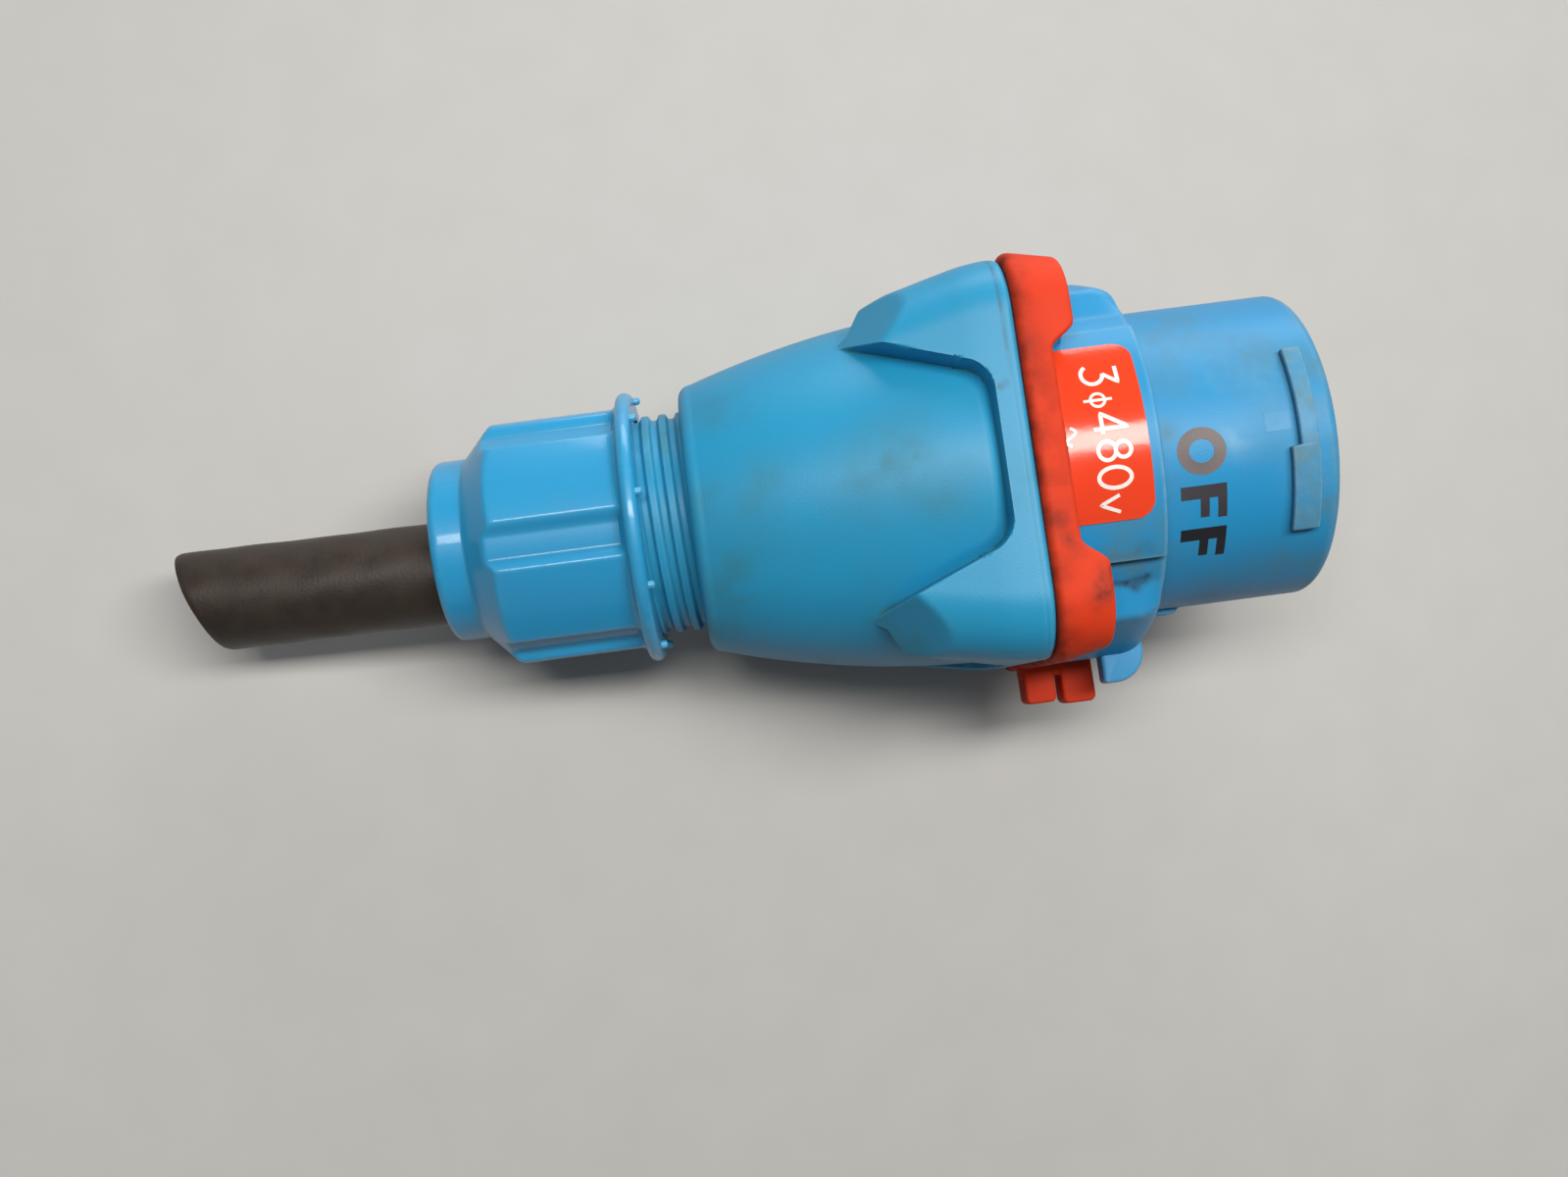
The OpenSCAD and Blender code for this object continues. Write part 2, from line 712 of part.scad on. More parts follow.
module gland_seal() {
    color("#1d1d1f") difference() {
        union() {
            bar(spigot_x, seal_len - fit_gap, seal_bore - fit_gap);
            bar(rim_front, seal_rim, spigot_r - 1);
        }
        bar(rim_front - eps, seal_len + seal_rim + 2 * eps, cable_r + fit_gap / 2, -cable_shift);
    }
}

module slip_washer() {
    color("#d9dadb") difference() {
        bar(washer_x, washer_t, spigot_r);
        bar(washer_x - eps, washer_t + 2 * eps, entry_r);
    }
}

// The outline of the gripped body: six crowned panels, each ending in a flute with one steep wall.
function grip_ray(a, r) = [-r * sin(a), r * cos(a)];
grip_outline = [
    for (k = [0 : 5])
        let (start = nut_clock + 60 * k)
        each [
            grip_ray(start, nut_r),
            grip_ray(start + 9, nut_r - 0.45),
            grip_ray(start + 18, nut_r - 0.6),
            grip_ray(start + 28, nut_r - 0.45),
            grip_ray(start + 37, nut_r),
            grip_ray(start + 41, nut_r - flute_depth * 0.6),
            grip_ray(start + 45, nut_r - flute_depth),
            grip_ray(start + 55, nut_r - flute_depth)
        ]
];

module nut_ring() {
    round = ring_t / 2;
    turned(concat(
        [[0, grip_x]],
        [for (i = [0 : 8]) let (a = -90 + 180 * i / 8)
            [ring_r - round + round * cos(a), grip_x + round + round * sin(a)]],
        [[0, ring_x]]));
}

// The collar, with a rounded outer edge, running a little way into the gripped body.
module nut_collar() {
    edge = 2;
    turned(concat(
        [[0, nut_x]],
        [for (i = [0 : 4]) let (a = 90 * i / 4)
            [collar_nut_r - edge + edge * sin(a), nut_x + edge - edge * cos(a)]],
        [[collar_nut_r, collar_front + 1], [0, collar_front + 1]]));
}

// The gripped body: its outline cut back by the chamfer's cone.
module nut_grip() {
    over = 1;
    slope = chamfer_len / (nut_r - collar_nut_r);
    inside_ring = grip_x + ring_t / 2;
    intersection() {
        turned([
            [0, collar_front], [collar_nut_r, collar_front], [nut_r + over, chamfer_x + over * slope],
            [nut_r + over, inside_ring], [0, inside_ring]
        ]);
        along(collar_front - over, inside_ring - collar_front + 2 * over) polygon(grip_outline);
    }
}

module gland_nut() {
    color("#2596d4") difference() {
        union() {
            nut_ring();
            nut_grip();
            nut_collar();
            for (i = [0 : pip_count - 1]) rotate([pip_clock + i * 360 / pip_count, 0, 0])
                bar(ring_x - ring_t / 2, ring_t / 2 + 1.4, 0.9, 0, ring_r - ring_t / 2);
        }
        bar(nut_stop, ring_x - nut_stop + eps, nut_bore);
        bar(nut_x - eps, nut_stop - nut_x + 2 * eps, entry_r);
    }
}

// Everything on the cable's far side of the slanted cut.
module beyond_cut() {
    translate([cut_x, -cable_shift, 0]) rotate([0, 0, cut_angle])
        translate([-6 * cable_r, -3 * cable_r, -3 * cable_r]) cube(6 * cable_r);
}

module cable_sheath() {
    color("#26221f") difference() {
        bar(cut_x - cable_r, sheath_x - cut_x + cable_r, cable_r, -cable_shift);
        bar(cut_x - cable_r - eps, sheath_x - cut_x + cable_r + 2 * eps, cable_r - sheath_t, -cable_shift);
        beyond_cut();
    }
}

function ease(t) = t * t * (3 - 2 * t);

// One insulated conductor: a round tube that runs down the cable and eases out to its terminal.
module conductor(i, tint) {
    sides = 12;
    bends = 10;
    leave = sheath_x + 2;
    reach = core_x - 4 - leave;
    stations = concat(
        [[cut_x, core_circle, -cable_shift]],
        [for (k = [0 : bends]) [leave + reach * k / bends,
            core_circle + (pin_circle - core_circle) * ease(k / bends), -cable_shift * (1 - ease(k / bends))]],
        [[core_x, pin_circle, 0]]);
    count = len(stations);
    a = pin_angles[i];
    points = [
        for (k = [0 : count - 1], j = [0 : sides - 1])
            let (b = 360 * j / sides)
            let (y = -stations[k][1] * sin(a) + core_r * cos(b))
            let (z = stations[k][1] * cos(a) + core_r * sin(b))
            [stations[k][0] - (k == 0 ? cut_slope * y : 0), y + stations[k][2], z]
    ];
    faces = concat(
        [[for (j = [0 : sides - 1]) j]],
        [for (k = [0 : count - 2], j = [0 : sides - 1])
            let (n = (j + 1) % sides)
            [k * sides + j, (k + 1) * sides + j, (k + 1) * sides + n, k * sides + n]],
        [[for (j = [0 : sides - 1]) count * sides - 1 - j]]);
    color(tint) polyhedron(points = points, faces = faces, convexity = 4);
}

module phase_conductor_1() { conductor(0, "#1b1b1c"); }
module phase_conductor_2() { conductor(1, "#b3261e"); }
module phase_conductor_3() { conductor(2, "#e6e2d8"); }
module earth_conductor() { conductor(3, "#2f8a3c"); }

module copper_cores() {
    color("#b8733a") for (i = [0 : 3]) at_pin(i) bar(core_x, copper_in + barrel_x - core_x, copper_r);
}

laid() inlet_body();
laid() rating_label();
laid() contact_carrier();
laid() phase_pin_1();
laid() phase_pin_2();
laid() phase_pin_3();
laid() earth_pin();
laid() terminal_screws();
laid() carrier_screws();
laid() flange_gasket();
laid() flange_screws();
laid() flange_inserts();
laid() handle();
laid() gland_seal();
laid() slip_washer();
laid() gland_nut();
laid() cable_sheath();
laid() phase_conductor_1();
laid() phase_conductor_2();
laid() phase_conductor_3();
laid() earth_conductor();
laid() copper_cores();
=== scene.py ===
# %% [markdown]
# # An industrial plug inlet with its cable handle
#
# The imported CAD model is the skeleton: pins, screws and conductors stay as they are. The moulded shells,
# the rubber gasket, the printed label and the cable get new skins here, each worked out as whole arrays.

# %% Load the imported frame
import json
import math

import bmesh
import bpy
import numpy as np
from mathutils import Matrix, Vector


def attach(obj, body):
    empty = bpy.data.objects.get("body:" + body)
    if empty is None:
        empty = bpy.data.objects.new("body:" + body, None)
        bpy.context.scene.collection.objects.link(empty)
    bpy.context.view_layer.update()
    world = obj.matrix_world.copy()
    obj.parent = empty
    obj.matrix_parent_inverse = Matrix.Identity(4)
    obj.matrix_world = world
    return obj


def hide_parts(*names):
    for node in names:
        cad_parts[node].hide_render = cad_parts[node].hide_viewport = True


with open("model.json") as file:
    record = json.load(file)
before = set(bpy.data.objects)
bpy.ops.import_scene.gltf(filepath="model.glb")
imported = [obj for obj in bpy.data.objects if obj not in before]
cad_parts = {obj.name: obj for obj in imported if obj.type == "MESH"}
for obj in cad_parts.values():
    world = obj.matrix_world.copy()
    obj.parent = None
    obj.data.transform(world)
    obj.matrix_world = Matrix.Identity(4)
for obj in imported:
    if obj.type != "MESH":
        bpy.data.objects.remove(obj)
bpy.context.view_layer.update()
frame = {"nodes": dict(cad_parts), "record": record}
print("CAD nodes:", len(frame["nodes"]))

# %% [markdown]
# ## The plug's own frame
#
# The plug lies tipped on its gasket and nut, so its axis isn't level. Every skin is drawn in the plug's own
# millimetres: x runs along the axis to the nose, z points to the label and y to the far side. The packed
# mount at the nose gives the axis, and laid() carries points into the frame's metres.

# %% Carry points between the plug and the frame
MM = 0.001
RIM_X = 67.0
nose_mount = next(m for m in frame["record"]["mounts"] if m["name"] == "nose")
NOSE_R = nose_mount["dims"]["r_mm"]
rim_at = np.array(nose_mount["pos_m"])
along = np.array(nose_mount["axis"]) / np.linalg.norm(nose_mount["axis"])
across = np.array([0.0, 1.0, 0.0])
plug_axes = np.array([along, across, np.cross(along, across)])


def laid(points):
    """Frame metres of plug points in millimetres: the rim's place plus each coordinate along its axis."""
    return rim_at + (np.asarray(points, float) - [RIM_X, 0, 0]) * MM @ plug_axes


def plug_box(node):
    """Lowest and highest corner of a CAD node in the plug's millimetres."""
    mesh = frame["nodes"][node].data
    flat = np.zeros(3 * len(mesh.vertices))
    mesh.vertices.foreach_get("co", flat)
    own = (flat.reshape(-1, 3) - rim_at) @ plug_axes.T / MM + [RIM_X, 0, 0]
    return own.min(0), own.max(0)


print("plug tilt:", round(math.degrees(math.asin(along[2])), 2), "degrees")

# %% [markdown]
# ## The camera
#
# A photograph is matched by its focal length in pixels and by where one known point and one known line fall
# in it. Here the point is the middle of the nose's rim and the line is the plug's axis. From those the
# camera's place follows in the plug's frame, and so in the model's.

# %% Place the camera
IMAGE_W = 1599
FOCAL_PX = 1450
SENSOR_MM = 36.0
RIM_IN_VIEW = np.array([117.4, -34.0, 336.8])
AXIS_RISE = 0.1298
AXIS_DIP = -0.02
LABEL_ROLL = math.radians(5)

view_x = np.array([
    math.cos(AXIS_RISE) * math.cos(AXIS_DIP),
    -math.sin(AXIS_RISE) * math.cos(AXIS_DIP),
    -math.sin(AXIS_DIP),
])
view_up = np.array([-math.sin(AXIS_RISE), -math.cos(AXIS_RISE), 0.0])
view_z = math.cos(LABEL_ROLL) * np.array([0.0, 0.0, -1.0]) + math.sin(LABEL_ROLL) * view_up
view_z -= view_x * (view_z @ view_x)
view_z /= np.linalg.norm(view_z)
plug_in_view = np.array([view_x, np.cross(view_z, view_x), view_z])
view_to_row = plug_in_view.T @ plug_axes
camera_at = laid(plug_in_view @ -RIM_IN_VIEW + [RIM_X, 0, 0])

camera_data = bpy.data.cameras.new("photo_camera")
camera_data.sensor_width = SENSOR_MM
camera_data.sensor_fit = "HORIZONTAL"
camera_data.lens = FOCAL_PX / IMAGE_W * SENSOR_MM
camera_data.clip_start = 0.01
camera = bpy.data.objects.new("photo_camera", camera_data)
bpy.context.scene.collection.objects.link(camera)
turn = np.array([view_to_row[0], -view_to_row[1], -view_to_row[2]]).T
camera.matrix_world = Matrix.Translation(Vector(camera_at)) @ Matrix(turn.tolist()).to_4x4()
bpy.context.scene.camera = camera
print("camera at", np.round(camera_at, 3), "m")

# %% [markdown]
# ## Floor and light
#
# A pale floor and three soft lamps stand in for a small photo table. The main lamp is a long strip overhead,
# which puts a long highlight near the top of every round piece. A lower one from the far side leaves the near
# side darker, and a weak one fills the shadows.

# %% Floor, lamps and world
FLOOR_HALF = 2.5
LAMP_AIM = Vector((0, 0, 0.04))
WORLD_COLOUR = (0.9, 0.95, 1.0, 1)
WORLD_STRENGTH = 0.14
floor_mesh = bpy.data.meshes.new("floor")
floor_corners = np.array([(-1, -1, 0), (1, -1, 0), (1, 1, 0), (-1, 1, 0)]) * FLOOR_HALF
floor_mesh.from_pydata(floor_corners.tolist(), [], [(0, 1, 2, 3)])
floor = bpy.data.objects.new("floor", floor_mesh)
bpy.context.scene.collection.objects.link(floor)


def soft_lamp(name, place, watts, length, width, colour=(1, 1, 1)):
    """An oblong area lamp that faces the plug, with its long side along it."""
    data = bpy.data.lights.new(name, "AREA")
    data.shape = "RECTANGLE"
    data.energy = watts
    data.size = length
    data.size_y = width
    data.color = colour
    back = (Vector(place) - LAMP_AIM).normalized()
    side = Vector((1, 0, 0)) - back * back.x
    side.normalize()
    facing = Matrix((side, back.cross(side), back)).transposed().to_4x4()
    lamp = bpy.data.objects.new(name, data)
    lamp.matrix_world = Matrix.Translation(place) @ facing
    bpy.context.scene.collection.objects.link(lamp)


soft_lamp("strip", (0.08, 0.12, 0.78), watts=7.0, length=0.9, width=0.16, colour=(1.0, 0.97, 0.92))
soft_lamp("side", (0.25, 0.9, 0.24), watts=5.0, length=0.9, width=0.36)
soft_lamp("fill", (-0.3, -0.8, 0.5), watts=0.2, length=0.6, width=0.6)
world = bpy.data.worlds.new("studio")
world.use_nodes = True
world.node_tree.nodes["Background"].inputs["Color"].default_value = WORLD_COLOUR
world.node_tree.nodes["Background"].inputs["Strength"].default_value = WORLD_STRENGTH
bpy.context.scene.world = world
bpy.context.scene.view_settings.view_transform = "Standard"

# %% [markdown]
# ## Turning arrays into meshes
#
# A skin is a grid of points: rows follow a profile and columns go round. Each point also gets four marks.
# "edge" and "pit" come from how the rows and columns bend: one where the grid is convex, the other where it
# is hollow. The soot and grime marks and further rubs are listed for each piece. They are dirt and wear, and
# also painted shade in some creases and joints and a painted sheen on the nose. Materials rub edges, lay dirt
# and paint that shade and sheen by them.


# %% Soft steps and creases
def smooth(t):
    """Goes from 0 to 1 as t does, level at both ends: 3t² - 2t³."""
    t = np.clip(t, 0, 1)
    return t * t * (3 - 2 * t)


def soft_max(a, b, width):
    """The larger of a and b, with the crease between them rounded over width."""
    h = np.clip(0.5 + 0.5 * (a - b) / width, 0, 1)
    return b + (a - b) * h + width * h * (1 - h)


def soft_min(a, b, width):
    """The smaller of a and b, with a rounded crease."""
    return -soft_max(-a, -b, width)


def round_off(depth, radius):
    """Drop of a rounded edge at a depth past its start, a quarter circle: r - sqrt(r² - d²)."""
    return radius - np.sqrt(radius**2 - np.clip(depth, 0, radius) ** 2)


# %% Marks of wear, dirt and painted shade
TINY = 1e-6
LEAST_STEP = 0.02
RELIEF_GAIN = 0.55
EDGE_START = 0.03


def bend(grid, axis):
    """Curvature vectors along one grid direction: the change of unit step over the mean step."""
    ahead = np.roll(grid, -1, axis) - grid
    behind = np.roll(grid, 1, axis) - grid
    far = np.linalg.norm(ahead, axis=-1, keepdims=True) + TINY
    near = np.linalg.norm(behind, axis=-1, keepdims=True) + TINY
    return (ahead / far + behind / near) * 2 / (far + near + LEAST_STEP)


def relief(grid):
    """Edge and pit strengths of a closed grid: its curvature along the outward normal, cut to 0..1."""
    down = np.roll(grid, -1, 0) - np.roll(grid, 1, 0)
    right = np.roll(grid, -1, 1) - np.roll(grid, 1, 1)
    normal = np.cross(down, right)
    volume = (normal * (grid - grid.mean((0, 1)))).sum()
    normal *= np.sign(volume) / (np.linalg.norm(normal, axis=-1, keepdims=True) + 1e-9)
    out = -((bend(grid, 0) + bend(grid, 1)) * normal).sum(-1)
    for axis in (0, 1):
        out = (np.roll(out, 1, axis) + 2 * out + np.roll(out, -1, axis)) / 4
    return np.clip(out * RELIEF_GAIN - EDGE_START, 0, 1), np.clip(-out * RELIEF_GAIN, 0, 1)


def round_axis(x, r, angle):
    """Points at radius r and angle round the axis: y = -r sin, z = r cos."""
    x, r, angle = np.broadcast_arrays(x, r, angle)
    return np.stack([x, -r * np.sin(angle), r * np.cos(angle)], -1)


def smudge(grid, patches):
    """Sum of soft round patches, each given as x, angle in degrees, radius, size and strength."""
    total = np.zeros(grid.shape[:2])
    for x, angle, radius, size, strength in patches:
        middle = round_axis(x, radius, math.radians(angle))
        total += strength * np.exp(-((grid - middle) ** 2).sum(-1) / size**2)
    return np.clip(total, 0, 1)


# %% A skin and its mesh
WELD_M = 2e-6
SHARP_ANGLE = math.radians(50)


class Skin:
    """Gathers closed grids for one object, then makes its mesh."""

    def __init__(self, name):
        self.name = name
        self.points = []
        self.faces = []
        self.marks = {"edge": [], "pit": [], "soot_and_shade": [], "grime_and_shade": []}
        self.count = 0

    def add(self, grid, soot_and_shade=0.0, grime_and_shade=0.0, rub_and_sheen=0.0, wear=1.0, loop=True):
        """Adds a grid whose columns close on themselves, and whose rows do too or else end in poles."""
        rows, cols = grid.shape[:2]
        index = np.arange(rows * cols).reshape(rows, cols) + self.count
        below = np.roll(index, -1, 0)
        quads = np.stack([index, np.roll(index, -1, 1), np.roll(below, -1, 1), below], -1)
        quads = quads if loop else quads[:-1]
        edge, pit = relief(grid)
        # Rubs here are wear, and on the nose also a painted sheen.
        rubbed_and_sheen = np.clip(wear * edge + rub_and_sheen, 0, 1)
        strengths = {"edge": rubbed_and_sheen, "pit": wear * pit, "soot_and_shade": soot_and_shade, "grime_and_shade": grime_and_shade}
        for mark, strength in strengths.items():
            self.marks[mark].append(np.broadcast_to(strength, (rows, cols)).ravel())
        self.points.append(grid.reshape(-1, 3))
        self.faces.append(quads.reshape(-1, 4))
        self.count += rows * cols
        return self

    def make(self, material, body, slot, *nodes):
        """Makes the object, lays it in the frame, closes its poles and turns its faces outwards."""
        mesh = bpy.data.meshes.new(self.name)
        points = laid(np.concatenate(self.points))
        mesh.from_pydata(points.tolist(), [], np.concatenate(self.faces).tolist())
        for mark, values in self.marks.items():
            layer = mesh.attributes.new(mark, "FLOAT", "POINT")
            layer.data.foreach_set("value", np.concatenate(values).astype(np.float32))
        work = bmesh.new()
        work.from_mesh(mesh)
        bmesh.ops.remove_doubles(work, verts=work.verts, dist=WELD_M)
        bmesh.ops.recalc_face_normals(work, faces=work.faces)
        work.to_mesh(mesh)
        work.free()
        mesh.shade_smooth()
        mesh.set_sharp_from_angle(angle=SHARP_ANGLE)
        mesh.materials.append(material)
        piece = bpy.data.objects.new(self.name, mesh)
        bpy.context.scene.collection.objects.link(piece)
        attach(piece, body)
        if nodes:
            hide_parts(*nodes)
        print(self.name, "faces:", len(mesh.polygons))


# %% Profiles and outlines
GUARD = 0.3
PLATE_EDGE_ROWS = 5


def ring_angles(count):
    """Angles once round, from the label's middle towards the near side."""
    return np.linspace(0, 2 * np.pi, count, endpoint=False)


def arc(center_x, center_r, radius, start, end, count):
    """Profile points (x, r) on a circle, with angles in degrees from +x towards +r."""
    a = np.radians(np.linspace(start, end, count))
    return np.stack([center_x + radius * np.cos(a), center_r + radius * np.sin(a)], -1)


def outline(corners, radii, count=7):
    """A convex outline with its own radius at each corner, given anticlockwise: points and outward normals.

    Each corner is an arc between its two sides, with a guard point on each side to keep the sides straight.
    """
    corners = np.asarray(corners, float)
    ahead = np.roll(corners, -1, 0) - corners
    ahead /= np.linalg.norm(ahead, axis=1, keepdims=True)
    points, normals = [], []
    for corner, first, last, radius in zip(corners, np.roll(ahead, 1, 0), ahead, radii):
        start = math.atan2(-first[0], first[1])
        turned = math.atan2(first[0] * last[1] - first[1] * last[0], first @ last)
        a = start + np.linspace(0, turned, count)
        normal = np.stack([np.cos(a), np.sin(a)], -1)
        middle = np.array([math.cos(start + turned / 2), math.sin(start + turned / 2)])
        bow = corner - radius / math.cos(turned / 2) * middle + radius * normal
        points += [bow[:1] - GUARD * first, bow, bow[-1:] + GUARD * last]
        normals += [normal[:1], normal, normal[-1:]]
    return np.concatenate(points), np.concatenate(normals)


def rectangle(low, high):
    """Corners of an upright rectangle, anticlockwise from its highest one."""
    return [(high[0], high[1]), (low[0], high[1]), (low[0], low[1]), (high[0], low[1])]


def capped(grid):
    """The grid with a row added at each end, where all its columns meet in one point."""
    ends = [np.broadcast_to(grid[i].mean(0), (1,) + grid.shape[1:]) for i in (0, -1)]
    return np.concatenate([ends[0], grid, ends[1]])


def ribbon(points, width, low, high, place):
    """A closed band along a stroke: its points moved half the width to each side, at two levels."""
    step = np.gradient(points, axis=0)
    step /= np.linalg.norm(step, axis=1, keepdims=True)
    side = np.stack([-step[:, 1], step[:, 0]], -1) * width / 2
    edges = [(points - side, low), (points - side, high), (points + side, high), (points + side, low)]
    return capped(np.stack([place(flat, level) for flat, level in edges], 1))


def plate(rim, normals, low, high, edge):
    """A flat plate whose edges are quarter circles: its outline is drawn in by an inset towards each face."""
    a = np.radians(np.linspace(0, 90, PLATE_EDGE_ROWS))
    insets = np.concatenate([edge * (1 - np.sin(a)), edge * (1 - np.sin(a[::-1]))])
    heights = np.concatenate([low + edge * (1 - np.cos(a)), high - edge * (1 - np.cos(a[::-1]))])
    flat = rim[None] - insets[:, None, None] * normals[None]
    level = np.broadcast_to(heights[:, None, None], flat.shape[:2] + (1,))
    return capped(np.concatenate([flat, level], -1))


# %% [markdown]
# ## Finishes
#
# The blue shells are tough moulded plastic that has been handled: a little uneven in tint, rubbed pale on its
# edges and greenish where dirt sits. The same dirt and soot marks also carry painted shade in some creases
# and joints, and the rubs a painted sheen on the nose. One node group does this for every piece. It puts out
# a colour, a roughness and a height, and each material sets its own colours and amounts on the group.


# %% Node helpers
def paint(red, green, blue):
    """A colour written as on a screen, 0 to 255, made linear for the shader."""
    c = np.array([red, green, blue]) / 255
    linear = np.where(c <= 0.04045, c / 12.92, ((c + 0.055) / 1.055) ** 2.4)
    return (*linear.tolist(), 1.0)


def feed(tree, node, inputs):
    """Sets or links a node's inputs, given by name or place."""
    for key, value in inputs.items():
        if isinstance(value, bpy.types.NodeSocket):
            tree.links.new(value, node.inputs[key])
        else:
            node.inputs[key].default_value = value


def add_node(tree, kind, inputs=None, **settings):
    """Adds a node, sets its properties, then feeds its inputs."""
    made = tree.nodes.new(kind if kind.startswith("NodeGroup") else "ShaderNode" + kind)
    for key, value in settings.items():
        setattr(made, key, value)
    feed(tree, made, inputs or {})
    return made


def times_plus(tree, a, b, c=0.0, clamp=False):
    """a times b plus c, each a value or a socket."""
    return add_node(tree, "Math", {0: a, 1: b, 2: c}, operation="MULTIPLY_ADD", use_clamp=clamp).outputs[0]


def blend_colour(tree, share, a, b):
    """Colour a where share is 0 and colour b where it is 1."""
    return add_node(tree, "Mix", {0: share, 6: a, 7: b}, data_type="RGBA").outputs[2]


def speckle(tree, place, scale, detail, low, high):
    """Noise cut to a mask that is 0 below low and 1 above high."""
    noise = add_node(tree, "TexNoise", {"Vector": place, "Scale": scale, "Detail": detail})
    ramp = add_node(tree, "MapRange", {"Value": noise.outputs["Fac"], "From Min": low, "From Max": high})
    return ramp.outputs["Result"]


# %% The shared wear group
# Colour of the soot mark: soot, and painted shade in some creases.
SOOT_AND_SHADE = paint(44, 38, 34)
GROUP_INPUTS = {"Base": "Color", "Tint": "Color", "Dirt And Shade": "Color", "Rub And Sheen": "Color", "Dirt Amount": "Float",
                "Rub Amount": "Float", "Gloss": "Float", "Grain Scale": "Float"}
GROUP_OUTPUTS = {"Color": "Color", "Roughness": "Float", "Height": "Float"}
# Each noise's scale, detail, and the values between which its mask goes from 0 to 1
NOISES = {"drift": (18, 3, 0.3, 0.75), "patches": (34, 6, 0.52, 0.78), "flecks": (420, 3, 0.4, 0.7),
          "blotches": (160, 6, 0.38, 0.66)}
# What a mask adds: its gain, and its floor where it has one
PATCH_DIRT, PIT_DIRT = 0.4, 1.1
GRIME_BLOTCH, RUB_FLECK, SOOT_FLECK = (0.75, 0.25), (0.5, 0.5), (0.6, 0.5)
DIRT_ROUGH, PATCH_ROUGH, PATCH_HEIGHT = 0.2, 0.06, 0.4


def wear_group():
    """Base colour drifting to a tint, dirt in pits and patches, grime and soot with painted shade, rubs with
    painted sheen, grain.
    """
    tree = bpy.data.node_groups.new("handled_surface", "ShaderNodeTree")
    for way, sockets in (("INPUT", GROUP_INPUTS), ("OUTPUT", GROUP_OUTPUTS)):
        for name, kind in sockets.items():
            tree.interface.new_socket(name, in_out=way, socket_type="NodeSocket" + kind)
    given = add_node(tree, "NodeGroupInput").outputs
    place = add_node(tree, "TexCoord").outputs["Object"]
    mark = {}
    for name in ("edge", "pit", "soot_and_shade", "grime_and_shade"):
        mark[name] = add_node(tree, "Attribute", attribute_name=name).outputs["Fac"]
    noise = {name: speckle(tree, place, *settings) for name, settings in NOISES.items()}
    grain = add_node(tree, "TexNoise", {"Vector": place, "Scale": given["Grain Scale"], "Detail": 2})
    colour = blend_colour(tree, noise["drift"], given["Base"], given["Tint"])
    caught_dirt_and_shade = times_plus(tree, noise["patches"], PATCH_DIRT, times_plus(tree, mark["pit"], PIT_DIRT))
    # The grime mark lays dirt, and painted shade at the gasket's rear and band and on the near buttress
    # facet.
    caught_dirt_and_shade = times_plus(tree, mark["grime_and_shade"], times_plus(tree, noise["blotches"], *GRIME_BLOTCH), caught_dirt_and_shade)
    dirt_and_shade = times_plus(tree, caught_dirt_and_shade, given["Dirt Amount"], clamp=True)
    colour = blend_colour(tree, dirt_and_shade, colour, given["Dirt And Shade"])
    # Rubs are wear, and on the nose also a painted sheen.
    rubbed_and_sheen = times_plus(tree, mark["edge"], given["Rub Amount"])
    rubbed_and_sheen = times_plus(tree, rubbed_and_sheen, times_plus(tree, noise["flecks"], *RUB_FLECK), clamp=True)
    colour = blend_colour(tree, rubbed_and_sheen, colour, given["Rub And Sheen"])
    # The soot mark is soot, and painted shade in the shoulder crease and at the ribs' feet.
    sooted_and_shaded = times_plus(tree, mark["soot_and_shade"], times_plus(tree, noise["flecks"], *SOOT_FLECK), clamp=True)
    colour = blend_colour(tree, sooted_and_shaded, colour, SOOT_AND_SHADE)
    rough = times_plus(tree, dirt_and_shade, DIRT_ROUGH, given["Gloss"])
    rough = times_plus(tree, noise["patches"], PATCH_ROUGH, rough, clamp=True)
    height = times_plus(tree, noise["patches"], PATCH_HEIGHT, grain.outputs["Fac"])
    add_node(tree, "NodeGroupOutput", {"Color": colour, "Roughness": rough, "Height": height})
    print("wear group:", len(tree.nodes), "nodes")
    return tree


# %% A material of the wear group
handled_surface = wear_group()
BUMP_DEPTH = 0.0004
COAT_ROUGHNESS = 0.1


def handled(name, base, tint, dirt_and_shade, rub_and_sheen, dirt_and_shade_amount, rubbed_and_sheen, rough, grain=2600, bump=0.1,
            coat=0.0, metal=0.0, specular=0.5):
    """Colour, roughness and bump come from the group, and the last three values are set on the shader."""
    material = bpy.data.materials.new(name)
    material.use_nodes = True
    tree = material.node_tree
    shader = tree.nodes["Principled BSDF"]
    colours = {"Base": paint(*base), "Tint": paint(*tint), "Dirt And Shade": paint(*dirt_and_shade), "Rub And Sheen": paint(*rub_and_sheen)}
    amounts = {"Dirt Amount": dirt_and_shade_amount, "Rub Amount": rubbed_and_sheen, "Gloss": rough, "Grain Scale": grain}
    worn = add_node(tree, "Group", {**colours, **amounts}, node_tree=handled_surface).outputs
    dents = add_node(tree, "Bump", {"Strength": bump, "Distance": BUMP_DEPTH, "Height": worn["Height"]})
    feed(tree, shader, {
        "Base Color": worn["Color"], "Roughness": worn["Roughness"], "Normal": dents.outputs["Normal"],
        "Coat Weight": coat, "Coat Roughness": COAT_ROUGHNESS, "Metallic": metal,
        "Specular IOR Level": specular})
    return material


# %% Plastic, rubber and film
# blue_shell's dirt colour also paints shade on the near buttress facet.
blue_shell = handled(
    "blue_shell", base=(36, 146, 190), tint=(33, 137, 182), dirt_and_shade=(62, 98, 72), rub_and_sheen=(120, 180, 200),
    dirt_and_shade_amount=0.58, rubbed_and_sheen=0.4, rough=0.42, specular=0.35)
